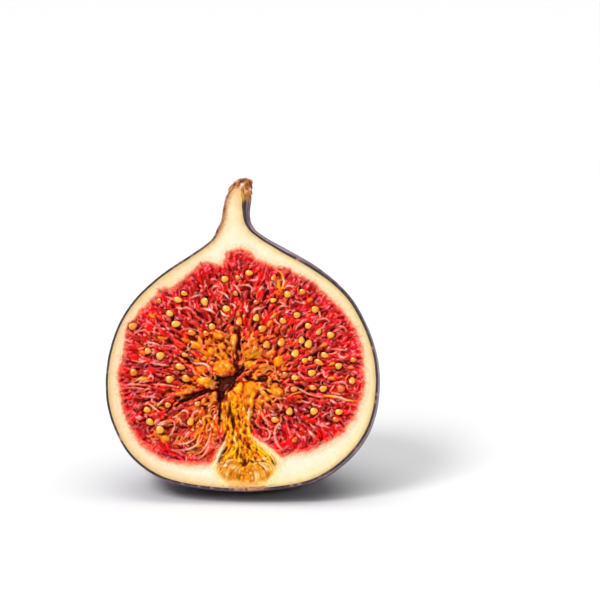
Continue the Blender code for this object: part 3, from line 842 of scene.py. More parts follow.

    # ---- amber lumps round the heart, with painted shade at their edges and on the side away from the light, and painted highlights
    lump_tones = [lin(250, 200, 100), lin(236, 148, 42), lin(222, 110, 22), lin(202, 72, 10)]
    for (u, w, long, wide, turn_deg, t, lift) in LUMPS:
        k = min(t * 3, 2.999)
        tone = mixed(lump_tones[int(k)], lump_tones[int(k) + 1], k - int(k))
        lay.drop(u, w, math.radians(turn_deg), long, wide, lift - 0.15, 0.5 + 0.55 * min(long, wide), tone, rim=tone * np.array([0.62, 0.32, 0.18]), power=0.5,
                 gleam=lin(254, 214, 128), shine=0.5, turned=0.35)
        for m in range(int(0.6 + long * wide * 0.8)):
            a = rng.uniform(0, 6.28)
            s = rng.uniform(0.1, 0.8)
            ct, st = math.cos(math.radians(turn_deg)), math.sin(math.radians(turn_deg))
            x = u + s * long * math.cos(a) * ct - s * wide * math.sin(a) * st
            y = w + s * long * math.cos(a) * st + s * wide * math.sin(a) * ct
            size = rng.uniform(0.35, 0.75)
            lay.drop(x, y, rng.uniform(0, 3.1), size * rng.uniform(1.0, 1.6), size, lift - 0.13 - 0.30 * s * s + rng.uniform(-0.03, 0.08), 0.30,
                     mixed(tone, lump_tones[rng.integers(0, 4)], 0.4) * rng.uniform(0.85, 1.12), rim=tone * np.array([0.80, 0.54, 0.36]), power=0.5,
                     gleam=lin(254, 218, 140), shine=rng.uniform(0.0, 0.6), turned=0.25)
    # amber drops with painted shade at the edge and on the far side, and painted highlights
    for (u, w, long, wide, turn_deg) in DROPS:
        tone = ambers[rng.integers(5)]
        lay.drop(u, w, math.radians(turn_deg), long, wide, -0.1, 0.5, tone, rim=tone * 0.55, power=0.5, bend=rng.normal(0, 0.2),
                 gleam=lin(255, 216, 140), shine=rng.uniform(0.2, 0.7), turned=0.35)

    # ---- measured threads, darker along their sides as painted shade, with painted highlights along them
    for (points, half, pale) in THREADS:
        line = catmull(points, 6) if len(points) > 2 else np.array(points, float)
        if pale > 1.5:
            tone = lin(246, 190, 84)
        elif pale < 0:
            tone = mixed(lin(226, 60, 50), lin(206, 14, 26), -pale)
        else:
            tone = mixed(lin(236, 78, 70), lin(252, 180, 154), pale)
        lay.stroke(line, half * 0.92, 0.0, tone, rim=tone * 0.68,
                   gleam=mixed(tone, lin(255, 236, 228), 0.25 + 0.7 * rng.uniform() * (pale > 0)), at=rng.uniform(0.25, 0.75))
    # painted highlights standing for wet edges that catch the light: thin, pale strokes in clusters
    glint_clusters = octaves(58, 3.0, 2)
    for (u, w) in placed(43, 620, lambda u, w: 0.95 if here(glint_clusters, u, w) > 0 else 1.7, lambda u, w: here(pd, u, w) > 0.5 and here(fan, u, w) < 0.3 and math.hypot(u + 1.0, w - 22.6) > 3.0):
        a = math.atan2(here(fw, u, w), here(fu, u, w)) + rng.normal(0, 0.7)
        half_long = rng.uniform(0.14, 0.42)
        x, y = half_long * math.cos(a), half_long * math.sin(a)
        bow = rng.normal(0, 0.25)
        high = here(lay.h, u, w)
        heat = here(warm, u, w)
        lay.stroke([(u - x, w - y), (u - 0.5 * x - bow * 0.75 * y, w - 0.5 * y + bow * 0.75 * x), (u - bow * y, w + bow * x),
                    (u + 0.5 * x - bow * 0.75 * y, w + 0.5 * y + bow * 0.75 * x), (u + x, w + y)], rng.uniform(0.06, 0.13), high + 0.05,
                   mixed(mixed(lin(246, 120, 128), lin(255, 240, 244), rng.uniform() ** 0.9), lin(255, 226, 160), min(1.0, heat)))

    # painted highlights: small groups of pale pink strokes where the wet pulp glares
    for (u, w) in placed(59, 105, lambda u, w: 1.8, lambda u, w: 0.5 < here(pd, u, w) < 7.5 and here(fan, u, w) < 0.2 and here(glint_clusters, u, w) > -0.3 and here(warm, u, w) < 0.6):
        a = math.atan2(here(fw, u, w), here(fu, u, w)) + rng.normal(0, 0.35)
        for m in range(rng.integers(2, 5)):
            side = (m - 1.2) * rng.uniform(0.22, 0.36)
            x0, y0 = u - side * math.sin(a) + rng.normal(0, 0.12), w + side * math.cos(a) + rng.normal(0, 0.12)
            half_long = rng.uniform(0.25, 0.75)
            b = a + rng.normal(0, 0.25)
            x, y = half_long * math.cos(b), half_long * math.sin(b)
            bow = rng.normal(0, 0.2)
            high = here(lay.h, x0, y0)
            lay.stroke([(x0 - x, y0 - y), (x0 - bow * y, y0 + bow * x), (x0 + x, y0 + y)], rng.uniform(0.08, 0.15), high + 0.05,
                       mixed(lin(240, 100, 110), lin(255, 232, 234), rng.uniform() ** 1.4), rim=lin(206, 40, 60))

    # ---- fibres falling to the eye, darker along their sides as painted shade, with painted highlights
    gold = [lin(240, 152, 32), lin(248, 190, 62), lin(236, 122, 20), lin(212, 88, 12), lin(252, 212, 110)]
    for m in range(210):
        t = rng.uniform(-0.97, 0.97)
        w1 = rng.uniform(7.0, 20.4 if t > -0.45 else 18.6)
        w0 = max(5.6, w1 - rng.uniform(1.2, 5.0))
        s = np.linspace(0, 1, 12)
        y = w1 + (w0 - w1) * s
        wob = rng.uniform(-0.12, 0.12) * np.sin(5 * s + 6 * t)
        path = np.stack([fan_u(np.full(12, t), y) + wob, y], 1)
        core = 1 - abs(t)
        tone = gold[rng.choice(5, p=[0.30, 0.20, 0.27, 0.13, 0.10])]
        lay.stroke(path, rng.uniform(0.13, 0.30), -rng.uniform(0.0, 0.45) - 0.30 * core, tone, rim=tone * np.array([0.62, 0.36, 0.22]),
                   gleam=mixed(tone, lin(255, 222, 140), rng.uniform(0.0, 0.8)), at=rng.uniform(0.2, 0.8))
    # small drops among the fibres, with painted shade at the edge and on the far side, and painted highlights
    for m in range(185):
        t = rng.uniform(-0.9, 0.9)
        y = rng.uniform(6.0, 19.6 if t > -0.4 else 18.0)
        x = float(fan_u(np.array(t), y))
        tone = gold[rng.choice(5, p=[0.30, 0.2, 0.28, 0.12, 0.10])]
        a = math.atan2(here(fw, x, y), here(fu, x, y)) + rng.normal(0, 0.3)
        lay.drop(x, y, a, rng.uniform(0.35, 0.8), rng.uniform(0.2, 0.38), -rng.uniform(0.0, 0.4), 0.4, tone, rim=tone * np.array([0.55, 0.28, 0.18]), power=0.5,
                 gleam=lin(255, 222, 140), shine=rng.uniform(0.0, 0.6), turned=0.3)

    # ---- the eye: two scrolls of thin scales, with a crumbly wedge between them; the scales and crumbs carry painted highlights, and the scales darker sides as painted shade
    lay.drop(-1.9, 4.0, 0.25, 3.4, 2.35, -0.30, 0.22, lin(212, 142, 54), rim=lin(236, 186, 100), power=0.5)
    lay.drop(3.95, 4.0, -0.2, 3.3, 2.35, -0.30, 0.22, lin(214, 148, 58), rim=lin(238, 192, 106), power=0.5)
    lay.drop(1.1, 2.6, 1.5708, 1.9, 1.9, -0.34, 0.2, lin(226, 142, 34), rim=lin(234, 170, 70), power=0.5)
    husk = [lin(240, 188, 96), lin(222, 148, 52), lin(210, 122, 34), lin(250, 218, 150), lin(190, 98, 26), lin(150, 66, 16)]
    for k in range(92):
        left = k % 2 == 0
        f = rng.uniform(0, 1) ** 0.8
        if left:
            start = (0.1 - 1.6 * f + rng.normal(0, 0.15), 5.0 + 0.5 * f)
            end = (-0.3 - 4.2 * f + rng.normal(0, 0.2), 1.75 + 1.9 * f ** 3 + rng.normal(0, 0.2))
            mid = (-0.7 - 3.4 * f + rng.normal(0, 0.35), 4.6 + 0.3 * f + rng.normal(0, 0.3))
        else:
            start = (1.6 + 1.6 * f + rng.normal(0, 0.15), 5.2 + 0.6 * f)
            end = (2.1 + 4.3 * f + rng.normal(0, 0.2), 1.75 + 2.3 * f ** 3 + rng.normal(0, 0.2))
            mid = (2.5 + 3.6 * f + rng.normal(0, 0.35), 4.7 + 0.5 * f + rng.normal(0, 0.3))
        a0 = rng.uniform(0.0, 0.5)
        s = np.linspace(a0, min(1.0, a0 + rng.uniform(0.35, 0.9)), 12)
        path = np.stack([(1 - s) ** 2 * start[0] + 2 * s * (1 - s) * mid[0] + s * s * end[0] + 0.05 * np.sin(9 * s + k),
                         (1 - s) ** 2 * start[1] + 2 * s * (1 - s) * mid[1] + s * s * end[1]], 1)
        tone = husk[rng.choice(6, p=[0.26, 0.20, 0.15, 0.13, 0.12, 0.14])]
        lay.stroke(path, rng.uniform(0.06, 0.15), -0.24 + rng.uniform(0.0, 0.16), tone, rim=tone * np.array([0.72, 0.52, 0.34]), ends=0.3,
                   gleam=mixed(tone, lin(255, 240, 200), rng.uniform(0.0, 0.7)), at=rng.uniform(0.2, 0.8))
    for m in range(80):
        y = rng.uniform(1.3, 5.2)
        x = 1.0 + rng.uniform(-1, 1) * np.interp(y, [1.2, 3.0, 5.2], [1.9, 1.2, 0.7])
        tone = [lin(236, 160, 48), lin(226, 134, 30), lin(244, 190, 84), lin(206, 104, 22)][rng.integers(4)]
        size = rng.uniform(0.14, 0.30)
        lay.drop(x, y, rng.uniform(0, 3.1), size * rng.uniform(1, 1.8), size, -0.14 + rng.uniform(-0.08, 0.04), 0.25, tone, rim=tone * np.array([0.6, 0.4, 0.3]), power=0.5,
                 gleam=lin(255, 232, 170), shine=rng.uniform(0, 0.8), turned=0.25)
    for (cu, cw, sx, sy, a0, a1) in [(-2.2, 4.2, 1.2, 0.85, 60, 200), (-2.1, 4.1, 1.0, 0.7, 40, 190), (4.0, 4.4, 1.2, 0.85, -10, 130), (3.9, 4.2, 1.0, 0.7, 0, 140)]:
        ang = np.radians(np.linspace(a0 + rng.uniform(-12, 12), a1 + rng.uniform(-12, 12), 16))
        path = np.stack([cu + 2.3 * sx * np.cos(ang), cw + 2.3 * sy * np.sin(ang)], 1)
        tone = husk[rng.integers(4)]
        lay.stroke(path, rng.uniform(0.09, 0.13), -0.05, tone, rim=tone * np.array([0.84, 0.66, 0.48]), ends=0.3)
    for (points, half, tone) in [
        ([(2.4, 10.6), (4.0, 9.5), (5.6, 8.3), (7.0, 6.9), (7.9, 6.2)], 0.20, lin(250, 200, 150)),
        ([(2.3, 10.0), (3.8, 9.1), (5.2, 7.9), (6.3, 6.7), (6.8, 5.4)], 0.22, lin(248, 218, 118)),
        ([(2.0, 9.4), (3.4, 8.6), (4.8, 7.5), (5.8, 6.4), (6.2, 5.2)], 0.22, lin(246, 204, 92)),
        ([(1.9, 8.7), (3.2, 8.0), (4.4, 7.1), (5.2, 6.2)], 0.26, lin(240, 186, 70)),
        ([(-3.3, 10.0), (-3.9, 8.7), (-4.4, 7.4), (-4.8, 6.0)], 0.22, lin(248, 206, 160)),
        ([(-4.2, 5.6), (-3.3, 5.6), (-2.4, 6.1), (-1.6, 6.3)], 0.20, lin(252, 222, 160)),
        ([(-3.9, 6.6), (-2.8, 7.0), (-1.6, 7.6), (-1.0, 8.6)], 0.24, lin(248, 206, 84)),
        ([(-1.2, 9.2), (-1.4, 10.4), (-1.1, 11.6)], 0.26, lin(252, 226, 140)),
        ([(4.2, 6.7), (5.0, 6.7)], 0.30, lin(255, 232, 196)),
        ([(-3.4, 4.9), (-2.9, 5.4)], 0.22, lin(255, 232, 200)),
        ([(1.2, 14.2), (1.3, 16.4)], 0.26, lin(250, 206, 176)),
        ([(1.0, 12.9), (1.5, 11.6)], 0.26, lin(250, 214, 110)),
    ]:
        lay.stroke(catmull(points, 5) if len(points) > 2 else np.array(points, float), half, 0.03, tone, rim=tone * np.array([0.8, 0.66, 0.5]))
    h, c = lay.h, lay.c

    # a dip in the face, coloured dark inside: painted shade in the hollow
    def pit(u, w, turn_deg, long, wide, depth, tone=(104, 24, 2), strength=0.94):
        rows, cols = lay.window(u, w, long * 1.6 + 0.2)
        x, y = UU[rows, cols] - u, WW[rows, cols] - w
        ct, st = math.cos(math.radians(turn_deg)), math.sin(math.radians(turn_deg))
        s, t = x * ct + y * st, -x * st + y * ct
        q = np.sqrt((s / long) ** 2 + (t / wide) ** 2) + 0.12 * medium[rows, cols]
        k = smooth(1.25, 0.6, q)
        h[rows, cols] = h[rows, cols] - 0.6 * depth * k
        c[rows, cols] = blend(c[rows, cols], lin(*tone), k * strength)

    for spot in [
        (0.6, 5.45, 0, 0.75, 0.50, 1.2), (0.7, 6.2, 90, 0.45, 0.28, 0.8), (-0.1, 7.1, 90, 0.6, 0.24, 0.8), (0.0, 8.6, 90, 0.6, 0.14, 0.5),
        (2.1, 6.0, -30, 0.5, 0.24, 0.8), (4.5, 6.1, 0, 0.55, 0.13, 0.5), (4.4, 4.7, -60, 0.6, 0.15, 0.4), (3.6, 5.4, -50, 0.5, 0.11, 0.3),
        (-1.9, 13.9, 100, 1.9, 0.42, 1.5), (-2.7, 15.6, 80, 1.3, 0.28, 1.1), (-0.7, 14.7, -65, 0.7, 0.25, 0.8), (0.9, 13.1, -40, 0.4, 0.25, 0.8),
        (-3.35, 8.2, 55, 0.9, 0.26, 0.8), (-3.9, 6.7, 40, 0.6, 0.15, 0.5), (-3.4, 5.6, 30, 0.6, 0.14, 0.5), (-1.95, 9.8, 88, 0.5, 0.18, 0.7),
        (-4.6, 15.9, 86, 2.5, 0.34, 1.4), (-3.7, 10.4, 76, 1.7, 0.34, 1.2), (-1.9, 11.6, 85, 0.5, 0.22, 0.7), (1.4, 8.9, -60, 0.5, 0.22, 0.7),
        (-0.3, 10.9, 85, 0.7, 0.16, 0.6), (0.5, 11.6, 70, 0.5, 0.14, 0.6), (-2.6, 17.3, 75, 0.8, 0.15, 0.6), (2.3, 17.4, 80, 0.9, 0.14, 0.6),
        (0.3, 9.5, 80, 0.4, 0.12, 0.5), (1.2, 10.5, 100, 0.45, 0.12, 0.5), (-1.2, 16.8, 60, 0.4, 0.14, 0.4), (5.6, 3.2, 60, 0.4, 0.1, 0.3),
        (-2.0, 3.4, 80, 0.5, 0.1, 0.25), (-0.2, 3.2, 80, 0.9, 0.12, 0.35), (2.5, 3.1, 100, 0.6, 0.1, 0.3), (-0.6, 8.0, 20, 0.4, 0.12, 0.4),
    ]:
        pit(*spot)
    for m in range(95):
        t = rng.uniform(-0.85, 0.85)
        y = rng.uniform(6.0, 17.5)
        pit(float(fan_u(np.array(t), y)), y, math.degrees(math.atan2(here(fw, 0, y), here(fu, 0, y))) + rng.normal(0, 18), rng.uniform(0.18, 0.6), rng.uniform(0.08, 0.17), 0.4, (140, 40, 6), 0.9)
    for (u, w) in [(1.2, 1.0), (2.0, 1.5), (2.6, 1.0), (0.9, 0.5), (3.3, 1.3), (0.2, 1.5), (1.7, 0.6)]:
        pit(u, w, rng.uniform(0, 180), 0.5, 0.25, 0.15, (96, 52, 40), 0.8)
    # dark rims round the seeds: a shallow socket with painted shade in it
    for (u, w, long, wide, turn_deg, ripe) in SEEDS:
        pit(u, w, turn_deg, long * 0.66, wide * 0.68, 0.35, (120, 4, 4), 0.62)

    # ---- the edge of the pulp: feathered into the rind
    ragged = octaves(24, 0.42, 2)
    feather = 0.25 * medium + 0.9 * octaves(23, 1.7, 2) + 1.3 * ragged
    t = pd - 0.22 * feather
    # the outer florets are thin radial streaks, pinker and flatter
    calm = smooth(3.8, 0.7, pd) * (1 - fan)
    mottle = octaves(26, 0.5, 2)
    tone = blend(lin(176, 0, 30), lin(240, 56, 84), smooth(-1.0, 1.0, 0.25 * medium + mottle))
    tone = blend(tone, lin(252, 182, 162), smooth(0.30, 1.1, octaves(27, 0.42, 2) + 0.15 * medium) * 0.9)
    c = blend(c, tone, np.clip(calm * 0.44, 0, 1))
    c = blend(c, lin(250, 150, 140), 0.08 * calm)
    c = blend(c, blend(lin(238, 96, 84), lin(250, 184, 150), smooth(-0.6, 0.9, octaves(28, 0.4, 2))), 0.70 * smooth(1.0, 0.0, pd + 0.3 * ragged) * (1 - fan))
    h = h * (1 - 0.18 * calm - 0.40 * smooth(1.0, 0.1, pd) * (1 - fan)) + calm * (-0.08 + 0.02 * medium + 0.05 * mottle)
    h = h + (0.03 * fine + 0.035 * medium)
    # the floors of the deep clefts are smoothed and darkened: painted shade
    deep = smooth(0.45, 0.9, shade) * smooth(-1.2, -2.0, h)
    h = mixed(h, blur(h, 0.30), 0.8 * deep)
    c = blend(c, blend(lin(58, 12, 3), lin(120, 44, 14), smooth(-0.8, 0.9, octaves(62, 0.8, 2))), 0.75 * deep)
    # seen through the wet tissue, colours run into one another
    c = np.stack([blur(c[..., k], 0.075) for k in range(3)], axis=-1)
    flow = np.clip(0.6 * medium + 0.5 * fine + 0.5 * worm2, -2.5, 2.5) * smooth(0.8, 3.2, pd) * (1 - fan)
    c = c * np.clip(1 + 0.10 * flow + 0.07 * fine * fan, 0.5, 1.6)[..., None]
    c = blend(c, c * np.array([0.62, 0.20, 0.30], np.float32), 0.55 * smooth(0.5, 1.5, -flow) * (1 - 0.7 * warm))
    c = blend(c, blend(lin(246, 110, 104), lin(250, 184, 100), np.clip(warm * 1.3, 0, 1)), 0.42 * smooth(0.8, 1.9, flow))
    patch = octaves(57, 2.4, 2)
    c = c * np.clip(1 + 0.24 * (1 - fan) * np.clip(octaves(60, 0.95, 2) + 0.4 * broad, -1.4, 1.2), 0.5, 1.35)[..., None]
    c = c * np.clip(1 + 0.30 * (1 - fan) * (1 - 0.6 * warm) * np.clip(patch, -1.3, 1.0), 0.5, 1.35)[..., None]
    luma = (c @ np.array([0.3, 0.6, 0.1], np.float32))[..., None]
    c = np.clip(luma + (c - luma) * (1.30 - 0.12 * np.clip(warm + fan, 0, 1))[..., None], 0.001, 1)
    rim = smooth(1.1, 0.2, eye) * smooth(6.0, 4.8, WW)
    h = mixed(h, np.maximum(h, -0.26), rim)
    c = blend(c, lin(248, 208, 132), 0.5 * rim)
    # painted shade in the small hollows between the cells
    low = h - blur(h, 0.34)
    gap = np.clip(-low * 3.8 - 0.10, 0, 1)
    c = blend(c, blend(c * np.array([0.72, 0.12, 0.18], np.float32), c * np.array([0.62, 0.30, 0.18], np.float32), np.clip(fan + 0.8 * warm, 0, 1)), gap * (1 - 0.35 * fan) * (1 - 0.45 * lobes))
    h = mixed(h, np.maximum(h, blur(h, 0.34) - 0.42), (1 - smooth(0.05, 0.4, shade)) * (1 - 0.5 * fan))
    # painted highlight on the raised crests
    crest = np.clip(low * 3.0 - 0.25, 0, 1) * (1 - fan)
    c = blend(c, blend(lin(250, 146, 126), lin(252, 200, 128), np.clip(warm * 1.2, 0, 1)), 0.22 * crest)
    # painted shade in the broader hollows
    wide_low = h - blur(h, 1.1)
    c = c * np.clip(1 + 0.55 * np.minimum(wide_low + 0.10, 0), 0.4, 1)[..., None]

    body = np.maximum(smooth(-0.15, 0.45, t), smooth(-0.30, 0.55, eye - 0.16 * feather))
    h = mixed(0.012 * octaves(61, 0.7, 2), h, body)
    cream = blend(lin(247, 231, 202), lin(246, 224, 184), smooth(-0.3, 0.9, octaves(51, 5, 3)))
    around = np.degrees(np.arctan2(WW - 24, UU + 1)) + 9 * octaves(52, 6, 2)
    tan = np.interp(around, [-180, -165, -150, -125, -100, -80, -45, -20, 0, 15, 45, 62, 85, 105, 122, 140, 155, 168, 180],
                    [0.30, 0.62, 0.66, 0.56, 0.10, 0.00, 0.02, 0.28, 0.42, 0.60, 0.48, 0.16, 0.0, 0.10, 0.85, 1.0, 0.80, 0.25, 0.30])
    tan = tan * smooth(46, 41, WW)
    cream = blend(cream, lin(242, 198, 134), np.clip(tan * (0.62 + 0.38 * smooth(1.8, 0.5, out) + 0.12 * octaves(53, 1.6, 2)), 0, 1))
    cream = blend(cream, lin(247, 237, 220), (0.75 - 0.40 * smooth(-2, 4, UU)) * smooth(12.5, 7.0, WW) * smooth(1.2, 2.6, out))
    speck = octaves(55, 0.7, 2)
    cream = blend(cream, lin(240, 220, 160), 0.5 * smooth(0.2, 0.8, speck))
    cream = blend(cream, lin(255, 226, 200), 0.5 * smooth(0.2, 0.8, -speck))
    cream = blend(cream, blend(lin(238, 200, 148), lin(240, 220, 158), smooth(-8, 14, UU)), smooth(2.2, 0.2, out + 0.4 * speck) * 0.75)
    cream = blend(cream, lin(216, 178, 112), smooth(1.0, 0.05, out + 0.2 * speck) * 0.75)
    axis = along(CENTRE, np.clip(WW, 0, 63.4), 1)
    scarred = smooth(48, 54, WW) * smooth(0.2, -0.8, UU - axis)
    cream = blend(cream, blend(lin(178, 88, 40), lin(228, 158, 92), smooth(-0.7, 0.6, octaves(56, 0.45, 2))), scarred * smooth(0.80, 0.20, out + 0.2 * speck) * 0.95)
    grain = 0.6 * octaves(71, 1.2, 2) + 0.4 * medium
    cream = blend(cream, lin(234, 190, 126), smooth(56.0, 60.5, WW + 1.2 * (UU + 2) * smooth(56, 60, WW) + 0.7 * grain) * 0.85)
    cream = blend(cream, lin(190, 116, 58), smooth(60.0, 62.3, WW + 0.8 * grain) * 0.8)
    cream = blend(cream, lin(252, 214, 176), 0.85 * smooth(-1.7, -0.3, t + 0.2 * ragged) * smooth(0.3, 1.5, -eye))
    cream = blend(cream, lin(244, 142, 106), smooth(-0.55, 0.25, t + 0.15 * ragged) * smooth(-0.2, 0.6, -eye))
    # the rind is yellower round the eye, and rough and brown where the eye meets the skin
    cream = blend(cream, lin(248, 222, 160), 0.8 * smooth(-1.3, -0.1, eye + 0.15 * ragged))
    cream = blend(cream, blend(lin(232, 180, 108), lin(206, 134, 70), smooth(-0.4, 0.9, octaves(54, 0.5, 2))), 0.9 * smooth(4.6, 2.6, np.abs(UU - 1.2)) * smooth(2.5, 1.5, WW + 0.3 * ragged))
    # fine roots of the florets running out into the rind, and wisps along the border
    veil = np.zeros_like(UU)
    ink = np.zeros(UU.shape + (3,), np.float32)

    def wisp(u, w, a, behind, ahead, bend, half, tone, strength):
        rows, cols = lay.window(u, w, max(behind, ahead) + 0.4)
        x, y = UU[rows, cols] - u, WW[rows, cols] - w
        s = x * math.cos(a) + y * math.sin(a)
        t2 = -x * math.sin(a) + y * math.cos(a) - bend * s * s
        k = np.clip((s + behind) / (0.6 * behind), 0, 1) * np.clip((ahead - s) / (0.6 * ahead), 0, 1)
        k = k * smooth(1.0, 0.35, np.abs(t2) / (half * (0.35 + 0.65 * k))) * strength
        more = k > veil[rows, cols]
        veil[rows, cols] = np.where(more, k, veil[rows, cols])
        ink[rows, cols] = np.where(more[..., None], tone, ink[rows, cols])

    rooted = placed(47, 170, lambda u, w: 0.75, lambda u, w: -0.35 < here(pd, u, w) < 0.5 and here(eye, u, w) < -0.8)
    for (u, w) in rooted:
        a = math.atan2(here(fw, u, w), here(fu, u, w)) + rng.normal(0, 0.45)
        wisp(u, w, a, rng.uniform(0.3, 0.9), rng.uniform(0.2, 1.1), rng.normal(0, 0.35), rng.uniform(0.10, 0.22),
             mixed(lin(230, 76, 66), lin(250, 180, 146), rng.uniform()), rng.uniform(0.3, 0.8))
    border = placed(48, 460, lambda u, w: 0.45, lambda u, w: -0.75 < here(pd, u, w) < 0.9 and here(eye, u, w) < -0.6)
    for (u, w) in border:
        a = math.atan2(-here(gu, u, w), here(gw, u, w)) + rng.normal(0, 0.40)
        d = here(pd, u, w)
        tone = mixed(lin(232, 104, 72), lin(250, 186, 152), rng.uniform()) if d < 0.1 else mixed(lin(200, 10, 36), lin(250, 150, 136), rng.uniform())
        wisp(u, w, a, rng.uniform(0.3, 1.0), rng.uniform(0.3, 1.0), rng.normal(0, 0.35), rng.uniform(0.09, 0.19), tone, rng.uniform(0.3, 0.85) * (1 if d > -0.25 else 0.5))
    for (points, half) in [
        ([(5.9, 8.7), (7.2, 7.4), (8.3, 6.2), (9.0, 5.2)], 0.16), ([(6.4, 7.6), (7.4, 6.4), (8.0, 5.2)], 0.14), ([(6.9, 6.4), (7.5, 5.3), (7.6, 4.2)], 0.12),
        ([(-5.0, 7.6), (-5.6, 6.4), (-5.9, 5.0)], 0.12), ([(-5.6, 4.6), (-5.4, 3.4), (-4.6, 2.4)], 0.12), ([(6.6, 2.6), (5.4, 1.6), (4.0, 1.2)], 0.12),
    ]:
        line = catmull(points, 8)
        for k in range(len(line) - 1):
            (au, aw), (bu, bw) = line[k][:2], line[k + 1][:2]
            wisp(0.5 * (au + bu), 0.5 * (aw + bw), math.atan2(bw - aw, bu - au), 0.35, 0.35, 0.0, half, lin(250, 206, 118), 0.75)
    c = blend(cream, c, body)
    c = blend(c, ink, veil * smooth(0.25, 0.6, out))
    h = h + 0.05 * veil
    return dict(eye=eye, h=h.astype(np.float32), c=np.clip(c, 0, 1).astype(np.float32), pd=pd, wet=mixed(0.2, 1.0, body))


# ---------------------------------------------------------------- meshes
def make(name, points, faces, material, tint=None, smooth_shade=True):
    """A piece from points in the row frame (mm), riding on the fruit."""
    mesh = bpy.data.meshes.new(name)
    points = np.asarray(points, np.float32) * MM
    mesh.vertices.add(len(points))
    mesh.vertices.foreach_set("co", points.ravel())
    sizes = np.array([len(f) for f in faces]) if not isinstance(faces, np.ndarray) else np.full(len(faces), faces.shape[1])
    flat = np.concatenate([np.asarray(f) for f in faces]) if not isinstance(faces, np.ndarray) else faces.ravel()
    mesh.loops.add(len(flat))
    mesh.loops.foreach_set("vertex_index", flat.astype(np.int32))
    mesh.polygons.add(len(sizes))
    starts = np.concatenate([[0], np.cumsum(sizes)[:-1]]).astype(np.int32)
    mesh.polygons.foreach_set("loop_start", starts)
    mesh.update(calc_edges=True)
    mesh.validate()
    if tint is not None:
        layer = mesh.color_attributes.new("tint", "FLOAT_COLOR", "POINT")
        rgba = np.ones((len(points), 4), np.float32)
        rgba[:, :3] = tint
        layer.data.foreach_set("color", rgba.ravel())
    if smooth_shade:
        mesh.polygons.foreach_set("use_smooth", np.ones(len(mesh.polygons), bool))
    piece = bpy.data.objects.new(name, mesh)
    bpy.context.scene.collection.objects.link(piece)
    mesh.materials.append(material)
    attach(piece, "root")
    return piece


def periodic(seed, angle, height, around, size, stretch=1.0):
    """Smooth noise on the skin: `around` cells round the fruit, `size` mm tall."""
    rng = np.random.default_rng(seed)
    rows = int(70 / (size * stretch)) + 4
    table = rng.uniform(-1, 1, (rows, around)).astype(np.float32)
    x = (angle / (2 * np.pi) * around) % around
    y = np.clip(height / (size * stretch) + 1, 0, rows - 1.001)
    i = np.floor(x).astype(int)
    j = np.floor(y).astype(int)
    a, b = x - i, y - j
    i %= around
    n = (i + 1) % around
    a = a * a * (3 - 2 * a)
    b = b * b * (3 - 2 * b)
    return table[j, i] * (1 - a) * (1 - b) + table[j, n] * a * (1 - b) + table[j + 1, i] * (1 - a) * b + table[j + 1, n] * a * b


def skin_grid(around, rings, detail):
    """Half of the fruit as a bmesh in its own frame, cut at the knife plane."""
    r, w = outline(rings)
    a = 2 * np.pi * np.arange(around) / around
    A, W = np.meshgrid(a, w[1:-1])
    R = np.repeat(r[1:-1, None], around, axis=1)
    if detail:
        ripe = smooth(44, 56, W)
        # lengthwise folds, deepest below the stalk
        fold = 0.55 * periodic(101, A, W, 46, 30) + 0.45 * periodic(102, A + 0.02 * np.sin(W * 0.3), W, 90, 22)
        fine = periodic(103, A, W, 220, 9)
        lump = periodic(104, A, W, 16, 9)
        thin = np.clip(R / 8.0, 0, 1)
        fade = smooth(0.6, 3.5, W) * smooth(63.2, 61.0, W)
        R = R + fade * thin * (0.16 * lump + (0.05 + 0.16 * smooth(34, 50, W)) * fold + 0.035 * fine)
        R = R + fade * (1 - thin) * (0.10 * fold + 0.03 * fine) * ripe
        bark = smooth(59.0, 60.2, W) * smooth(63.3, 62.6, W)
        R = R + bark * (-0.12 + 0.10 * periodic(128, A, W, 16, 1.1))
        fold_in = np.exp(-((np.where(A > np.pi, A - 2 * np.pi, A) + 0.40) / 0.12) ** 2)
        R = R - 0.16 * fold_in * smooth(46, 49, W) * smooth(59.5, 58.0, W)
        front = np.exp(-((np.cos(A) * R - 2.4) / 2.4) ** 2) * smooth(2.6, 1.0, W) * smooth(0.2, -0.4, np.sin(A))
        R = R + 0.20 * front * periodic(134, A, W, 120, 0.5)
    P = fruit(R, A, W)
    bottom = fruit(np.array([0.0]), np.array([0.0]), np.array([w[0]]))
    top = fruit(np.array([0.0]), np.array([0.0]), np.array([w[-1]]))
    bm = bmesh.new()
    verts = [bm.verts.new(p) for p in P.reshape(-1, 3)]
    low = bm.verts.new(bottom[0])
    high = bm.verts.new(top[0])
    n = len(w) - 2
    for j in range(n - 1):
        for i in range(around):
            k = (i + 1) % around
            bm.faces.new((verts[j * around + i], verts[j * around + k], verts[(j + 1) * around + k], verts[(j + 1) * around + i]))
    for i in range(around):
        k = (i + 1) % around
        bm.faces.new((low, verts[k], verts[i]))
        bm.faces.new((high, verts[(n - 1) * around + i], verts[(n - 1) * around + k]))
    geom = list(bm.verts) + list(bm.edges) + list(bm.faces)
    bmesh.ops.bisect_plane(bm, geom=geom, dist=1e-4, plane_co=(0, 0, 0), plane_no=(0, -1, 0), clear_outer=True, clear_inner=False)
    bmesh.ops.remove_doubles(bm, verts=[v for v in bm.verts if abs(v.co.y) < 1e-3], dist=0.02)
    bmesh.ops.recalc_face_normals(bm, faces=bm.faces)
    bm.verts.ensure_lookup_table()
    bm.verts.index_update()
    return bm


def settled(p):
    """Rests the underside on its flat spot, with a soft turn at the rim of the spot."""
    q = placed_mm(p)
    z = q[..., 2]
    k = 0.25
    q[..., 2] = np.where(z > k, z, np.where(z < -k, 0.0, (z + k) ** 2 / (4 * k)))
    return q


